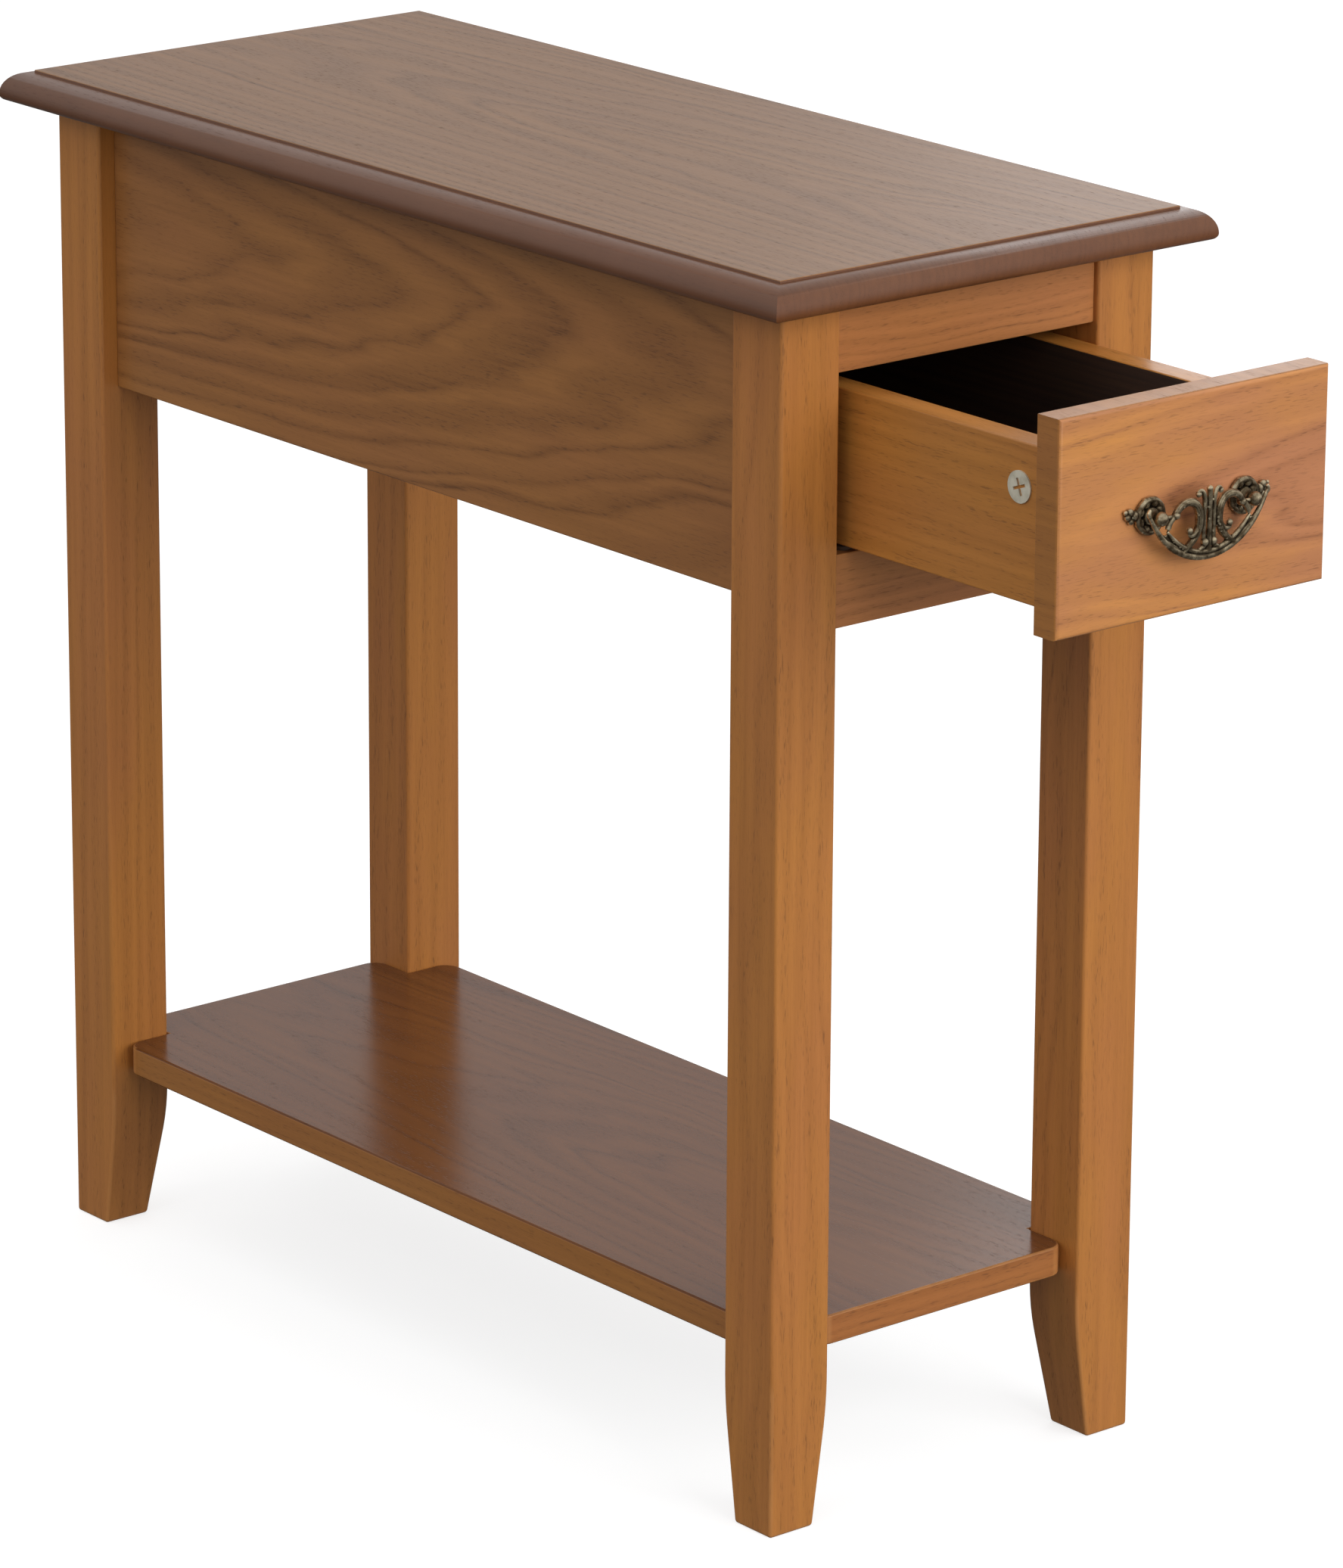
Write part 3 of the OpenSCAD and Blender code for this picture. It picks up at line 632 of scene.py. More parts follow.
@dataclass(frozen=True)
class BronzeFinish:
    """Cast antique bronze: dark in its hollows and rubbed pale where hands reach."""

    name: str
    hollow: Colour
    body: Colour
    high: Colour
    low_edge: float = 0.470
    high_edge: float = 0.540
    metallic: float = 0.92
    rough: float = 0.22

    def build(self) -> bpy.types.Material:
        """Make the material."""
        graph = Graph(self.name)
        cloud = graph.noise(graph.place(), 260.0, detail=3.0, rough=0.6)
        grit = graph.noise(graph.place(), 2600.0)
        raised = graph.raised() + (cloud - 0.5) * 0.06
        share = ((raised - self.low_edge) / (self.high_edge - self.low_edge)).clamped()
        dark = graph.curve(share, [(0.0, 1.0), (0.42, 0.25), (0.6, 0.0), (1.0, 0.0)])
        pale = graph.curve(share, [(0.0, 0.0), (0.50, 0.05), (0.85, 0.85), (1.0, 1.0)])
        metal = graph.blend(pale, graph.blend(dark, self.body, self.hollow), self.high)
        graph.set(Base_Color=metal, Metallic=self.metallic, Roughness=dark * 0.30 + grit * 0.14 + self.rough)
        graph.bump(grit + cloud, strength=0.25, distance=0.06 * MM)
        return graph.material


@dataclass(frozen=True)
class MetalFinish:
    """Plated or bare hardware metal with fine scratches and a few dull patches."""

    name: str
    bright: Colour
    dull: Colour
    rough: float = 0.32
    metallic: float = 1.0

    def build(self) -> bpy.types.Material:
        """Make the material."""
        graph = Graph(self.name)
        patch = graph.step(graph.noise(graph.place(), 140.0, detail=3.0), 0.4, 0.7)
        along, across, deep = graph.axes(Grain.TOP)
        streak = graph.noise(graph.vector(across * 12.0, along, deep * 12.0), 240.0)
        graph.set(Base_Color=graph.blend(patch, self.bright, self.dull), Metallic=self.metallic)
        graph.set(Roughness=patch * 0.14 + streak * 0.12 + self.rough)
        graph.bump(streak, strength=0.12, distance=0.05 * MM)
        return graph.material


@dataclass(frozen=True)
class PlasticFinish:
    """Moulded nylon with a faint mould texture."""

    name: str
    colour: Colour
    shade: Colour
    rough: float = 0.45

    def build(self) -> bpy.types.Material:
        """Make the material."""
        graph = Graph(self.name)
        cloud = graph.noise(graph.place(), 90.0)
        grain = graph.noise(graph.place(), 1800.0, detail=1.0)
        graph.set(Base_Color=graph.blend(cloud, self.colour, self.shade), Subsurface_Weight=0.08)
        graph.set(Roughness=grain * 0.12 + self.rough)
        graph.bump(grain, strength=0.15, distance=0.06 * MM)
        return graph.material


@dataclass(frozen=True)
class FloorFinish:
    """A pale seamless studio sweep that glows a little, so that shadows stay soft."""

    name: str = "studio_sweep"
    tone: float = 0.42
    glow: float = 0.74

    def build(self) -> bpy.types.Material:
        """Make the material."""
        graph = Graph(self.name)
        graph.set(Base_Color=(self.tone, self.tone, self.tone), Roughness=0.9)
        graph.set(Emission_Color=(1.0, 1.0, 1.0), Emission_Strength=self.glow, Specular_IOR_Level=0.0)
        return graph.material


class Finishes:
    """Every finish of the table, made once and shared."""

    def __init__(self) -> None:
        """Build the materials."""
        self.top = OakFinish(
            "oak_top", Grain.TOP, srgb(134, 94, 56), srgb(84, 54, 28), srgb(128, 90, 58),
            heart_across=0.01, heart_deep=0.56, lean=0.07, spacing=0.0075, figure=0.75,
            coat=0.0, wander=0.016, gloss_rough=0.38,
        ).build()
        self.moulding = OakFinish(
            "stained_moulding", Grain.TOP, srgb(98, 60, 34), srgb(58, 32, 17), srgb(92, 54, 32),
            heart_across=0.5, heart_deep=0.4, lean=0.02, spacing=0.004, figure=0.35,
            gloss_rough=0.30, rubbed_highlight=srgb(124, 78, 50), rubbed_highlight_share=0.2,
        ).build()
        self.shelf = OakFinish(
            "oak_shelf", Grain.TOP, srgb(112, 66, 28), srgb(72, 38, 16), srgb(104, 60, 30),
            heart_across=-0.015, heart_deep=0.04, lean=0.08, spacing=0.0075, figure=0.7,
            coat=0.0, wander=0.016, gloss_rough=0.18, gloss_index=1.3,
        ).build()
        self.edging = OakFinish(
            "oak_shelf_edging", Grain.FRONT, srgb(170, 108, 56), srgb(120, 72, 36), srgb(158, 98, 58),
            heart_across=0.2, heart_deep=-0.2, lean=0.02, spacing=0.006, figure=0.4,
        ).build()
        self.panel = OakFinish(
            "oak_panel", Grain.SIDE, srgb(164, 110, 58), srgb(112, 70, 34), srgb(156, 102, 60),
            heart_across=0.545, heart_deep=-0.03, lean=0.10, spacing=0.009, figure=0.95, wander=0.014,
        ).build()
        self.back = OakFinish(
            "oak_back", Grain.FRONT, srgb(164, 110, 58), srgb(112, 70, 34), srgb(156, 102, 60),
            heart_across=0.51, heart_deep=0.25, lean=0.06, spacing=0.008, figure=0.55, coat=0.3,
        ).build()
        self.leg = OakFinish(
            "oak_leg", Grain.UPRIGHT, srgb(186, 122, 58), srgb(134, 82, 36), srgb(178, 112, 66),
            heart_across=0.30, heart_deep=0.12, lean=0.03, spacing=0.009, figure=0.4,
            coat=0.15, wander=0.014, rubbed_highlight_share=0.3,
        ).build()
        self.rail = OakFinish(
            "oak_rail", Grain.FRONT, srgb(184, 120, 64), srgb(126, 76, 38), srgb(172, 108, 68),
            heart_across=0.60, heart_deep=-0.18, lean=0.03, spacing=0.006, figure=0.5, coat=0.35,
        ).build()
        self.front = OakFinish(
            "oak_drawer_front", Grain.FRONT, srgb(200, 136, 70), srgb(152, 98, 64), srgb(178, 118, 86),
            heart_across=0.517, heart_deep=-0.335, lean=0.11, spacing=0.009, figure=1.1,
            wander=0.016, blotch=0.8,
        ).build()
        self.drawer = OakFinish(
            "oak_drawer_side", Grain.SIDE, srgb(190, 126, 56), srgb(138, 86, 32), srgb(180, 116, 60),
            heart_across=0.42, heart_deep=-0.05, lean=0.03, spacing=0.007, figure=0.5, coat=0.2,
        ).build()
        self.ends = OakFinish(
            "oak_side_edging", Grain.SIDE, srgb(166, 110, 52), srgb(120, 74, 34), srgb(158, 102, 56),
            heart_across=0.42, heart_deep=-0.05, lean=0.02, spacing=0.006, figure=0.4,
        ).build()
        # The inside colour is partly dark stained wood and partly painted shade for the dim inside of the
        # drawer and case.
        inside = BareWoodFinish("dark_stain_and_painted_shade_inside", Grain.SIDE, srgb(66, 40, 22), srgb(36, 20, 11))
        self.inside = inside.build()
        self.hardboard = BareWoodFinish("hardboard", Grain.TOP, srgb(70, 44, 26), srgb(48, 28, 16)).build()
        self.beech = BareWoodFinish("bare_beech", Grain.TOP, srgb(206, 172, 124), srgb(172, 134, 88)).build()
        self.zinc = MetalFinish("zinc_plate", srgb(196, 198, 202), srgb(150, 152, 158)).build()
        self.cam = MetalFinish("cam_zinc", srgb(216, 211, 192), srgb(176, 170, 150), 0.5, 0.2).build()
        self.track = MetalFinish("galvanised_track", srgb(178, 182, 186), srgb(132, 138, 144), 0.38).build()
        self.nylon = PlasticFinish("natural_nylon", srgb(232, 228, 214), srgb(214, 208, 190)).build()
        # Dark nylon for the rail glides: painted shade of the dark gap under the drawer.
        self.painted_shade_nylon = PlasticFinish("painted_shade_nylon", srgb(74, 50, 32), srgb(58, 38, 24)).build()
        bronze = BronzeFinish("antique_bronze", srgb(24, 17, 10), srgb(92, 76, 54), srgb(222, 206, 172))
        self.bronze = bronze.build()


FINISH = Finishes()


def dress(piece: Object, *materials: bpy.types.Material) -> None:
    """Give a piece its materials, in the order of its slots."""
    piece.data.materials.clear()
    for material in materials:
        piece.data.materials.append(material)


def seat(piece: Object, body: str, slot: str, *nodes: str) -> None:
    """Fix a finished piece to its body, and hide the nodes that it stands for.

    Args:
        piece: the finished object.
        body: the body that it moves with.
        slot: the record's material slot; not used.
        nodes: the nodes of the frame that it replaces.
    """
    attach(piece, body)
    if nodes:
        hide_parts(*nodes)
    LOG.info("%-24s %6d faces on %s", piece.name, len(piece.data.polygons), body)


# ---- the case -------------------------------------------------------------------


@dataclass
class Top:
    """The table top: a veneered field in a stained moulding."""

    ovolo_r: float = 11.5 * MM
    quirk_h: float = 1.3 * MM
    quirk_w: float = 1.5 * MM
    nick: float = 0.15 * MM
    eased: float = 0.3 * MM

    def rings(self, span: Span) -> List[Ring]:
        """List the levels of the moulding.

        Args:
            span: the top's box.

        Returns:
            The levels, from the underside to the field.
        """
        nose_r = span.size.z - self.quirk_h - self.ovolo_r
        nose_z = span.low.z + nose_r
        profile = round_profile((-nose_r, nose_z), nose_r, -90, 0, 6)
        profile += round_profile((-self.ovolo_r, nose_z), self.ovolo_r, 0, 90, 14)[1:]
        ledge = -self.ovolo_r - self.quirk_w
        ledge_z = profile[-1][1]
        profile += [(ledge + self.nick, ledge_z), (ledge, ledge_z + self.nick)]
        profile += [(ledge, span.high.z - self.eased), (ledge - self.eased, span.high.z)]
        low, high = span.low, span.high
        return [Ring(low.x - out, high.x + out, low.y - out, high.y + out, z) for out, z in profile]

    def build(self) -> None:
        """Model the top, dress it and seat it."""
        span = Span.of_node("tabletop")
        top = new_stack("table_top", self.rings(span))
        field_z = span.high.z - self.eased / 2
        dress(top, FINISH.moulding, FINISH.top)
        for face in top.data.polygons:
            face.material_index = 1 if face.center.z > field_z else 0
        finish_mesh(top, angle=50)
        mark_wear_and_highlight(top, broad=0.02)
        seat(top, "table", "top_wood", "tabletop")


@dataclass
class Legs:
    """The four square legs, tapered at the foot on their two inner faces."""

    foot_inset: float = 8.5 * MM
    taper_h: float = 60 * MM
    blend_r: float = 200 * MM
    edge_r: float = 1.8 * MM

    def cut(self, z: float) -> float:
        """Say how deep each inner face is cut back at a height."""
        slope = self.foot_inset / self.taper_h
        lean = math.atan(slope)
        blend_z = self.taper_h + self.blend_r * math.tan(lean / 2)
        if z >= blend_z:
            return 0.0
        if z <= blend_z - self.blend_r * math.sin(lean):
            return (self.taper_h - z) * slope
        return self.blend_r - math.sqrt(self.blend_r**2 - (blend_z - z) ** 2)

    def build_one(self, node: str) -> None:
        """Model one leg, dress it and seat it."""
        span = Span.of_node(node)
        side = LEFT if span.middle.x < 0 else RIGHT
        centre_y = (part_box("tabletop")[0].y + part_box("tabletop")[1].y) / 2
        end = -1 if span.middle.y < centre_y else 1
        straight = [0.0, self.taper_h / 4, self.taper_h / 2]
        blend = [step * self.taper_h / 10 for step in range(7, 14)]
        rings = []
        for z in straight + blend + [span.high.z]:
            cut = self.cut(z)
            x0, x1 = (span.low.x, span.high.x - cut) if side == LEFT else (span.low.x + cut, span.high.x)
            y0, y1 = (span.low.y, span.high.y - cut) if end == -1 else (span.low.y + cut, span.high.y)
            rings.append(Ring(x0, x1, y0, y1, z))
        leg = new_stack(node.replace("leg_", "") + "_leg", rings)
        choose_edges(leg, lambda middle, way: abs(way.z) > 0.9 or middle.z < 1 * MM)
        bevel_chosen(self.edge_r, 4)
        finish_mesh(leg)
        mark_wear_and_highlight(leg)
        dress(leg, FINISH.leg)
        seat(leg, "table", "leg_wood", node)

    def build(self) -> None:
        """Model all four legs."""
        for node in ("leg_front_left", "leg_front_right", "leg_back_left", "leg_back_right"):
            self.build_one(node)


@dataclass
class Boards:
    """The flat boards of the case and the drawer, with their edges eased."""

    ease: float = 0.8 * MM

    def board(self, node: str, name: str, body: str, slot: str, finish: bpy.types.Material) -> Object:
        """Model one board at its node's box, ease its edges, dress it and seat it.

        Args:
            node: the node that the board replaces.
            name: the board's name.
            body: the body that it moves with.
            slot: the record's material slot.
            finish: its material.

        Returns:
            The board.
        """
        board = new_block(name, Span.of_node(node))
        choose_edges(board, lambda middle, way: True)
        bevel_chosen(self.ease, 3)
        finish_mesh(board)
        mark_wear_and_highlight(board)
        dress(board, finish)
        seat(board, body, slot, node)
        return board

    def build(self) -> None:
        """Model the panels and rails."""
        self.board("side_panel_left", "left_side_panel", "table", "panel_wood", FINISH.panel)
        self.board("side_panel_right", "right_side_panel", "table", "panel_wood", FINISH.panel)
        self.board("back_panel", "rear_panel", "table", "panel_wood", FINISH.back)
        self.board("front_top_rail", "upper_front_rail", "table", "rail_wood", FINISH.rail)
        self.board("front_lower_rail", "lower_front_rail", "table", "rail_wood", FINISH.rail)


@dataclass
class Shelf:
    """The low shelf: one board, notched round the legs, its corners rounded beside them."""

    corner_r: float = 9 * MM
    gap: float = 0.3 * MM
    edge_r: float = 1.2 * MM

    def build(self) -> None:
        """Model the shelf, dress it and seat it."""
        span = Span.of_node("shelf")
        inner_low, inner_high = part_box("leg_front_left")[1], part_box("leg_back_right")[0]
        deselect_all()
        bpy.ops.mesh.primitive_grid_add(x_subdivisions=3, y_subdivisions=3, size=1.0)
        shelf = bpy.context.object
        shelf.name = "low_shelf"
        xs = (span.low.x, inner_low.x + self.gap, inner_high.x - self.gap, span.high.x)
        ys = (span.low.y, inner_low.y + self.gap, inner_high.y - self.gap, span.high.y)
        for vert in shelf.data.vertices:
            column, row = round((vert.co.x + 0.5) * 3), round((vert.co.y + 0.5) * 3)
            vert.co = (xs[column], ys[row], span.low.z)
        mesh = edit(shelf)
        middle = span.middle
        for face in mesh.faces:
            centre = face.calc_center_median()
            beyond_x = abs(centre.x - middle.x) > xs[2] - middle.x
            beyond_y = abs(centre.y - middle.y) > ys[2] - middle.y
            face.select_set(beyond_x and beyond_y)
        bmesh.update_edit_mesh(shelf.data)
        bpy.ops.mesh.delete(type="FACE")
        bpy.ops.mesh.select_all(action="SELECT")
        bpy.ops.mesh.dissolve_limited(angle_limit=math.radians(2))
        bpy.ops.mesh.select_all(action="SELECT")
        bpy.ops.mesh.extrude_region_move(TRANSFORM_OT_translate={"value": (0, 0, span.size.z)})
        turn_outwards()

        def beside_leg(place: Vector, way: Vector) -> bool:
            """Take the upright edges at the shelf's outer corners."""
            at_end = abs(place.y - span.low.y) < MM or abs(place.y - span.high.y) < MM
            at_side = abs(place.x - span.low.x) < MM or abs(place.x - span.high.x) < MM
            return abs(way.z) > 0.9 and (at_end or at_side)

        choose_edges(shelf, beside_leg)
        bevel_chosen(self.corner_r, 8)
        soften(shelf, self.edge_r, 4, 40)
        finish_mesh(shelf)
        mark_wear_and_highlight(shelf)
        dress(shelf, FINISH.shelf, FINISH.edging, FINISH.ends)
        for face in shelf.data.polygons:
            if abs(face.normal.z) < 0.5:
                face.material_index = 1 if abs(face.normal.y) > abs(face.normal.x) else 2
        seat(shelf, "table", "shelf_wood", "shelf")


# ---- the drawer -----------------------------------------------------------------


@dataclass
class Drawer:
    """The drawer box and its lipped front."""

    front_r: float = 2.0 * MM
    ease: float = 0.9 * MM
    floor_ease: float = 0.3 * MM

    def build_front(self) -> None:
        """Model the lipped front with its rounded front edges."""
        span = Span.of_node("drawer_front")
        front = new_block("drawer_face", span)
        choose_edges(front, lambda middle, way: middle.y < span.low.y + 1 * MM)
        bevel_chosen(self.front_r, 5)
        choose_edges(front, lambda middle, way: middle.y > span.high.y - 1 * MM)
        bevel_chosen(0.5 * MM, 2)
        finish_mesh(front)
        mark_wear_and_highlight(front)
        dress(front, FINISH.front, FINISH.ends)
        for face in front.data.polygons:
            face.material_index = int(abs(face.normal.y) < 0.5)
        seat(front, "drawer", "front_wood", "drawer_front")

    def build_side(self, node: str, name: str, inward: int) -> None:
        """Model one side, lacquered outside and dark inside, the dark partly stain and partly painted shade.

        Args:
            node: the node that it replaces.
            name: the side's name.
            inward: the sign of the way to the drawer's inside along X.
        """
        side = Boards(self.ease).board(node, name, "drawer", "drawer_wood", FINISH.drawer)
        side.data.materials.append(FINISH.inside)
        for face in side.data.polygons:
            face.material_index = int(face.normal.x * inward > 0.9)

    def build(self) -> None:
        """Model the drawer's boards."""
        self.build_front()
        self.build_side("drawer_side_left", "drawer_left_side", 1)
        self.build_side("drawer_side_right", "drawer_right_side", -1)
        # The rear takes the dark inside finish, partly stain and partly painted shade.
        Boards(self.ease).board("drawer_back", "drawer_rear", "drawer", "drawer_wood", FINISH.inside)
        thin = Boards(self.floor_ease)
        thin.board("drawer_bottom", "drawer_floor", "drawer", "hardboard", FINISH.hardboard)


# ---- hardware -------------------------------------------------------------------


class Hardware:
    """The frame's own fixings and runners, which keep their shapes and get their finishes."""

    WOODEN = ("top_cleat_left", "top_cleat_right", "case_dowels", "drawer_dowels")
    SCREWS = (
        "top_screws", "cleat_screws", "track_screws", "guide_screws", "drawer_back_screws", "handle_screws",
    )
    BOLTS = ("case_cam_bolts", "drawer_cam_bolts")
    CAMS = ("case_cam_locks", "drawer_cam_locks")

    def dress_all(self, nodes: Sequence[str], material: bpy.types.Material) -> None:
        """Give several of the frame's nodes one material."""
        for node in nodes:
            piece = frame["nodes"][node]
            if piece.material_slots:
                for held in piece.material_slots:
                    held.material = material
            else:
                piece.data.materials.append(material)
            LOG.info("%-24s dressed in %s", node, material.name)

    def build(self) -> None:
        """Dress every fixing and runner."""
        self.dress_all(self.WOODEN, FINISH.beech)
        self.dress_all(self.SCREWS + self.BOLTS, FINISH.zinc)
        self.dress_all(self.CAMS, FINISH.cam)
        self.dress_all(("drawer_track",), FINISH.track)
        self.dress_all(("track_socket", "drawer_guide"), FINISH.nylon)
        # The glides are darkened as painted shade of the gap under the drawer.
        self.dress_all(("rail_glides",), FINISH.painted_shade_nylon)


# ---- the handle -----------------------------------------------------------------

Strand = Sequence[Tuple[float, float, float, float]]


@dataclass
class Handle:
    """The cast handle: two posts with dished rosettes, and the bail that swings between them.

    Strands are lists of points: across and up from the middle of the pivot line, out from
    it, and the strand's radius there. These and all the sizes below are in millimetres.
    """

    post_x: float = 28.5
    ball_r: float = 3.4
    rosette_r: float = 9.0
    rosette_h: float = 3.2
    lip_r: float = 1.5
    petals: int = 8
    pivot_out: float = 9.0
    rim_centre_up: float = 17.0
    rim_r: float = 38.7
    ridge_centre_up: float = 11.4
    ridge_r: float = 30.8
    voxel: float = 0.28
    smoothing: int = 6

    def place(self, across: float, up: float, out: float) -> Vector:
        """Find a place from the middle of the bail's pivot line, in metres."""
        joint = [j for j in frame["joints"] if j["name"] == "bail_swing"][0]
        return Vector(joint["pos_m"]) + Vector((across, -out, up)) * MM

    def strand(self, name: str, points: Strand, side: int = RIGHT) -> Object:
        """Draw a round strand of changing thickness through points.

        Args:
            name: the strand's name.
            points: its points and radii, given for the right side.
            side: the side that it is drawn on.

        Returns:
            The strand as a closed mesh.
        """
        curve = bpy.data.curves.new(name, "CURVE")
        curve.dimensions = "3D"
        curve.bevel_depth = 1.0
        curve.bevel_resolution = 4
        curve.use_fill_caps = True
        curve.resolution_u = 10
        spline = curve.splines.new("NURBS")
        spline.points.add(len(points) - 1)
        spline.use_endpoint_u = True
        spline.order_u = 4
        for control, (across, up, out, radius) in zip(spline.points, points):
            control.co = (*self.place(side * across, up, out), 1.0)
            control.radius = radius * MM
        piece = bpy.data.objects.new(name, curve)
        bpy.context.scene.collection.objects.link(piece)
        pick(piece)
        bpy.ops.object.convert(target="MESH")
        return bpy.context.object

    def bead(self, across: float, up: float, out: float, radius: float, squash: float = 1.0) -> Object:
        """Add a round bead at a place, flattened along its depth by squash."""
        deselect_all()
        place = self.place(across, up, out)
        bpy.ops.mesh.primitive_uv_sphere_add(segments=24, ring_count=14, radius=radius * MM, location=place)
        piece = bpy.context.object
        edit_all()
        bpy.ops.transform.resize(value=(1, squash, 1), center_override=tuple(place))
        bpy.ops.object.mode_set(mode="OBJECT")
        bpy.ops.object.transform_apply(location=True, rotation=True, scale=True)
        return piece

    def arc(
        self, centre_up: float, radius: float, half_turn: float, out: float, thick: Sequence[float]
    ) -> Strand:
        """List the points of a strand along an arc that hangs below the middle.

        Args:
            centre_up: the height of the arc's centre over the pivot.
            radius: the arc's radius.
            half_turn: how far it runs to each side of its lowest point, in degrees.
            out: how far it lies out from the pivot.
            thick: the strand's radii, evenly spaced along it.

        Returns:
            The strand's points.
        """
        path = round_profile((0.0, centre_up), radius, -90 - half_turn, half_turn - 90, len(thick) - 1)
        return [(across, up, out, radius_here) for (across, up), radius_here in zip(path, thick)]

    def cast(self, pieces: Sequence[Object], name: str) -> Object:
        """Melt overlapping pieces into one casting with soft joins."""
        casting = join(pieces, name)
        apply_modifier(casting, "REMESH", mode="VOXEL", voxel_size=self.voxel * MM, adaptivity=0.0)
        apply_modifier(casting, "SMOOTH", factor=0.5, iterations=self.smoothing)
        pick(casting)
        bpy.ops.object.shade_smooth()
        return casting

    def scroll(self, side: int) -> List[Object]:
        """Model one side's C-scroll with its curled end."""
        main = [
            (20.4, 0.2, 0.3, 1.6), (18.8, 3.4, 0.4, 1.8), (14.4, 5.8, 0.5, 2.0), (9.2, 5.0, 0.6, 2.1),
            (6.3, 1.2, 0.7, 2.1), (5.6, -4.2, 0.7, 2.0), (6.6, -9.4, 0.5, 1.9), (9.8, -13.8, 0.3, 1.8),
            (15.0, -17.0, 0.2, 1.5),
        ]
        curl = [
            (5.8, -5.0, 0.8, 1.3), (7.4, -9.0, 1.0, 1.4), (10.4, -11.0, 1.0, 1.3), (13.0, -9.6, 1.0, 1.2),
            (12.2, -7.4, 1.0, 1.0),
        ]
        return [
            self.strand("scroll", main, side),
            self.strand("curl", curl, side),
            self.bead(side * 12.2, -7.8, 1.1, 1.6),
            self.bead(side * 20.0, 0.4, 0.6, 1.9),
        ]

    def palmette(self) -> List[Object]:
        """Model the middle stems with their curled head."""
        stem = [
            (0, -19.5, 0.2, 1.6), (0, -12, 0.7, 1.3), (0, -4, 0.9, 1.2), (0, 5, 1.0, 1.3), (0, 10, 0.8, 1.4),
        ]
        side_stem = [
            (3.0, -13.0, 0.3, 1.2), (3.2, -6.0, 0.4, 1.1), (2.8, 0.0, 0.6, 1.1), (2.8, 5.0, 0.7, 1.2),
            (3.6, 8.8, 0.7, 1.2), (5.6, 9.8, 0.6, 1.1), (7.0, 8.6, 0.5, 0.9),
        ]
        foot = [(0, -14, 0.6, 1.2), (4, -17.4, 0.6, 1.3), (8.5, -19.2, 0.5, 0.8)]
        parts = [self.strand("stem", stem), self.bead(0, 9.7, 0.8, 1.5)]
        for side in (LEFT, RIGHT):
            parts += [self.strand("side_stem", side_stem, side), self.bead(side * 6.6, 7.9, 0.6, 1.5)]
            parts += [self.bead(side * 2.6, -14.6, 0.8, 1.9), self.strand("foot", foot, side)]
        return parts

    def web(self) -> Object:
        """Model the thin plate between the rim and the inner ridge."""
        steps, start, end = 36, -141.0, -39.0
        rim = round_profile((0.0, self.rim_centre_up), self.rim_r, start, end, steps)
        ridge = round_profile((0.0, self.ridge_centre_up), self.ridge_r, start, end, steps)
        points, faces = [], []
        for pair in zip(rim, ridge):
            points += [self.place(across, up, out) for out in (-0.9, 0.4) for across, up in pair]
        for step in range(steps):
            a, b = 4 * step, 4 * step + 4
            faces += [(a, a + 1, b + 1, b), (a + 2, b + 2, b + 3, a + 3)]
            faces += [(a, b, b + 2, a + 2), (a + 1, a + 3, b + 3, b + 1)]
        last = 4 * steps
        faces += [(0, 2, 3, 1), (last, last + 1, last + 3, last + 2)]
        mesh = bpy.data.meshes.new("web")
        mesh.from_pydata(points, [], faces)
        piece = bpy.data.objects.new("web", mesh)
        bpy.context.scene.collection.objects.link(piece)
        edit(piece)
        turn_outwards()
        return piece

    def build_bail(self) -> None:
        """Model the bail, dress it and seat it."""
        rim_thick = (0.9, 1.3, 1.6, 1.75, 1.8, 1.8, 1.8, 1.75, 1.6, 1.3, 0.9)
        ridge_thick = (0.7, 1.15, 1.25, 1.3, 1.35, 1.3, 1.25, 1.15, 0.7)
        rim = self.arc(self.rim_centre_up, self.rim_r, 68, 0.1, rim_thick)
        ridge = self.arc(self.ridge_centre_up, self.ridge_r, 55, 0.5, ridge_thick)
        middle_ridge = [
            (29.8, -7.6, 0.2, 0.5), (26.0, -10.2, 0.6, 0.8),
            (21.0, -13.6, 0.6, 0.85), (15.0, -17.4, 0.4, 0.5),
        ]
        tip = [(35.9, 2.2, 0.2, 1.1), (36.9, 4.0, 0.3, 1.2), (35.4, 5.4, 0.4, 0.7)]
        arm = [(18.6, 0.3, 0.2, 1.6), (21.2, 0.1, 0.0, 1.7), (23.4, -1.0, 0.0, 1.7), (24.7, -5.6, 0.3, 1.3)]
        pin = [(22.5, 0, 0, 1.0), (24.5, 0, 0, 1.0), (26.5, 0, 0, 1.0)]
        parts = [self.strand("rim", rim), self.strand("ridge", ridge), self.web()]
        for side in (LEFT, RIGHT):
            for name, points in {"middle_ridge": middle_ridge, "tip": tip, "arm": arm, "pin": pin}.items():
                parts.append(self.strand(name, points, side))
            parts += self.scroll(side)
        parts += self.palmette()
        bail = self.cast(parts, "swinging_bail")
        dress(bail, FINISH.bronze)
        seat(bail, "bail", "bronze_bail", "handle_bail")

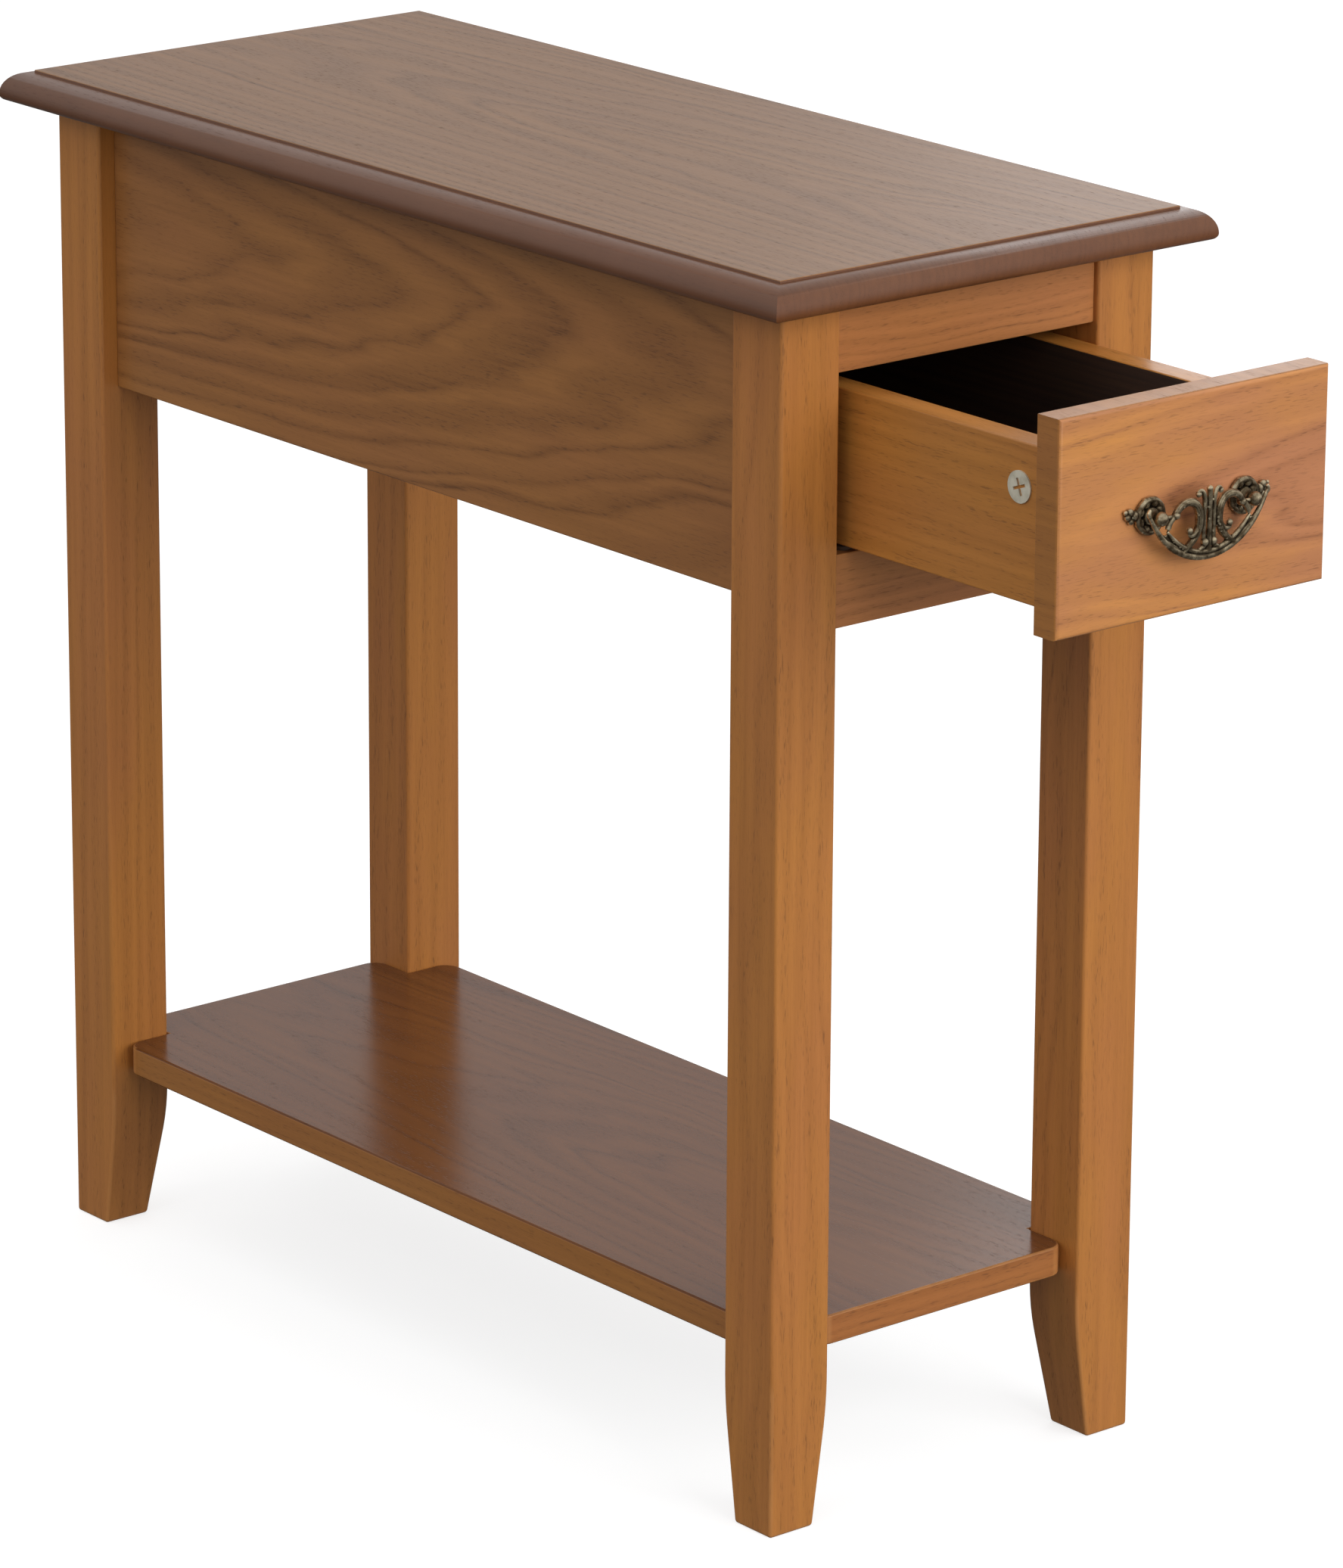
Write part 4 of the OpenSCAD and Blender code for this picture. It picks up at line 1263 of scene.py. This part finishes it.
    def build_post(self, node: str, side: int) -> None:
        """Model one post: a dished rosette with petals, a leaf spray, a neck and a ball head.

        Args:
            node: the node that it replaces.
            side: LEFT or RIGHT.
        """
        x, rim_x, petal_r = side * self.post_x, self.rosette_r - self.lip_r, self.rosette_r - 2.3
        outline = [(0.0, 0.0), (rim_x, 0.0)]
        outline += round_profile((rim_x, self.rosette_h - self.lip_r), self.lip_r, -50, 110, 8)
        outline += [(self.rosette_r - 2.6 * self.lip_r, 1.7), (4.6, 1.2), (4.2, 1.8), (4.0, 3.2)]
        outline += [(2.7, 4.8), (2.4, 6.4), (2.4, self.pivot_out), (0.0, self.pivot_out)]
        profile = [(radius * MM, height * MM) for radius, height in outline]
        foot = self.place(x, 0, -self.pivot_out)
        parts = [new_lathe("rosette", profile, foot, Vector((0, -1, 0)), 48), self.bead(x, 0, 0, self.ball_r)]
        for number in range(self.petals):
            angle = (number + 0.5) * math.tau / self.petals
            across, up = petal_r * math.cos(angle), petal_r * math.sin(angle)
            parts.append(self.bead(x + across, up, 1.5 - self.pivot_out, 2.5, 0.7))
        leaf = [(9.6, 1.6, 2.3), (12.0, 3.4, 1.9), (13.4, 1.4, 1.7), (11.4, -0.8, 1.7), (14.6, 3.6, 1.2)]
        for reach, up, radius in leaf:
            parts.append(self.bead(x + side * reach, up, 1.4 - self.pivot_out, radius, 0.85))
        post = self.cast(parts, node.replace("handle_post_", "") + "_handle_post")
        dress(post, FINISH.bronze)
        seat(post, "drawer", "bronze", node)

    def build(self) -> None:
        """Model both posts and the bail."""
        self.build_post("handle_post_left", LEFT)
        self.build_post("handle_post_right", RIGHT)
        self.build_bail()


# ---- the studio -----------------------------------------------------------------


@dataclass(frozen=True)
class Lamp:
    """A soft box: its direction from the table in degrees, its distance and size in metres, its watts.

    A lamp that isn't mirrored lights the wood without showing in its gloss.
    """

    name: str
    azimuth: float
    elevation: float
    distance: float
    size: float
    power: float
    mirrored: bool = True


@dataclass
class Studio:
    """The pale sweep, the soft lights and the camera.

    The surround goes from its ground to its sky level between the two heights of dusk, on
    a sphere of radius 1.
    """

    azimuth: float = -39.56
    elevation: float = 16.30
    roll: float = 0.31
    distance: float = 3.6968
    aim: Point = (0.0332, 0.0434, 0.3493)
    lens: float = 171.86
    shift_up: float = -0.084
    sky: float = 0.76
    ground: float = 0.14
    sky_lean: float = 0.10
    dusk: Tuple[float, float] = (-0.22, 0.18)
    lamps: Tuple[Lamp, ...] = (
        Lamp("key", 8.0, 18.0, 2.6, 2.1, 40.0, mirrored=False),
        Lamp("gleam", 8.0, 18.0, 2.6, 2.1, 16.0),
        Lamp("fill", -96.0, 30.0, 3.0, 1.5, 13.0),
        Lamp("back", 122.0, 26.0, 2.2, 0.9, 4.0),
    )

    def add_floor(self) -> None:
        """Lay the sweep under the table."""
        deselect_all()
        bpy.ops.mesh.primitive_plane_add(size=40.0, location=(0, 0, 0))
        floor = bpy.context.object
        floor.name = "floor"
        floor.visible_diffuse = False
        floor.visible_glossy = False
        floor.visible_shadow = False
        dress(floor, FloorFinish().build())

    def add_sky(self) -> None:
        """Light everything from a pale upper half and a dim lower half, brighter to the right."""
        world = bpy.data.worlds.new("surround")
        world.use_nodes = True
        tree = world.node_tree
        background = tree.nodes["Background"]
        where = tree.nodes.new("ShaderNodeTexCoord").outputs["Generated"]
        split = tree.nodes.new("ShaderNodeSeparateXYZ")
        tree.links.new(where, split.inputs[0])
        rise = tree.nodes.new("ShaderNodeMapRange")
        rise.interpolation_type = "SMOOTHSTEP"
        ends = ("From Min", "From Max", "To Min", "To Max")
        for name, value in zip(ends, (*self.dusk, self.ground, self.sky)):
            rise.inputs[name].default_value = value
        tree.links.new(split.outputs["Z"], rise.inputs["Value"])
        side = tree.nodes.new("ShaderNodeMath")
        side.operation = "MULTIPLY_ADD"
        side.inputs[1].default_value = self.sky_lean
        side.inputs[2].default_value = 1.0
        tree.links.new(split.outputs["X"], side.inputs[0])
        level = tree.nodes.new("ShaderNodeMath")
        level.operation = "MULTIPLY"
        tree.links.new(rise.outputs[0], level.inputs[0])
        tree.links.new(side.outputs[0], level.inputs[1])
        tree.links.new(level.outputs[0], background.inputs["Strength"])
        background.inputs["Color"].default_value = (1.0, 1.0, 1.0, 1.0)
        bpy.context.scene.world = world

    def add_lamp(self, lamp: Lamp) -> None:
        """Hang a soft box that faces the table.

        Args:
            lamp: the soft box; its azimuth runs from the drawer's way out towards +X.
        """
        turn, rise = math.radians(lamp.azimuth), math.radians(lamp.elevation)
        way = Vector((math.sin(turn) * math.cos(rise), -math.cos(turn) * math.cos(rise), math.sin(rise)))
        light = bpy.data.lights.new(lamp.name, "AREA")
        light.shape = "SQUARE"
        light.size = lamp.size
        light.energy = lamp.power
        hung = bpy.data.objects.new(lamp.name, light)
        hung.visible_glossy = lamp.mirrored
        hung.location = Vector((0, 0, 0.3)) + way * lamp.distance
        hung.rotation_euler = (-way).to_track_quat("-Z", "Y").to_euler()
        bpy.context.scene.collection.objects.link(hung)

    def add_camera(self) -> None:
        """Stand the camera at the front left corner, looking slightly down."""
        turn, drop = math.radians(-self.azimuth), math.radians(self.elevation)
        forward = Vector((math.sin(turn) * math.cos(drop), math.cos(turn) * math.cos(drop), -math.sin(drop)))
        level = forward.cross(Vector((0, 0, 1))).normalized()
        upright = level.cross(forward)
        tilt = math.radians(self.roll)
        right = level * math.cos(tilt) + upright * math.sin(tilt)
        up = right.cross(forward)
        place = Vector(self.aim) - forward * self.distance
        data = bpy.data.cameras.new("camera")
        data.sensor_width = 36.0
        data.lens = self.lens
        data.shift_y = self.shift_up
        data.clip_end = 100.0
        camera = bpy.data.objects.new("camera", data)
        rows = Matrix((right, up, -forward)).transposed()
        camera.matrix_world = Matrix.Translation(place) @ rows.to_4x4()
        bpy.context.scene.collection.objects.link(camera)
        bpy.context.scene.camera = camera

    def build(self) -> None:
        """Set up the studio."""
        self.add_floor()
        self.add_sky()
        for lamp in self.lamps:
            self.add_lamp(lamp)
        self.add_camera()
        bpy.context.scene.view_settings.view_transform = "Standard"


def main() -> None:
    """Build the table's sub-assemblies in order, then the studio."""
    logging.basicConfig(level=logging.INFO, format="%(message)s")
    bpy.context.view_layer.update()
    Studio().build()
    for assembly in (Top(), Legs(), Boards(), Shelf(), Drawer(), Handle(), Hardware()):
        assembly.build()
    deselect_all()
    record_size()


def record_size() -> None:
    """Bring the view layer up to date.
    """
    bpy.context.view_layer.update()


if __name__ == "__main__":
    main()
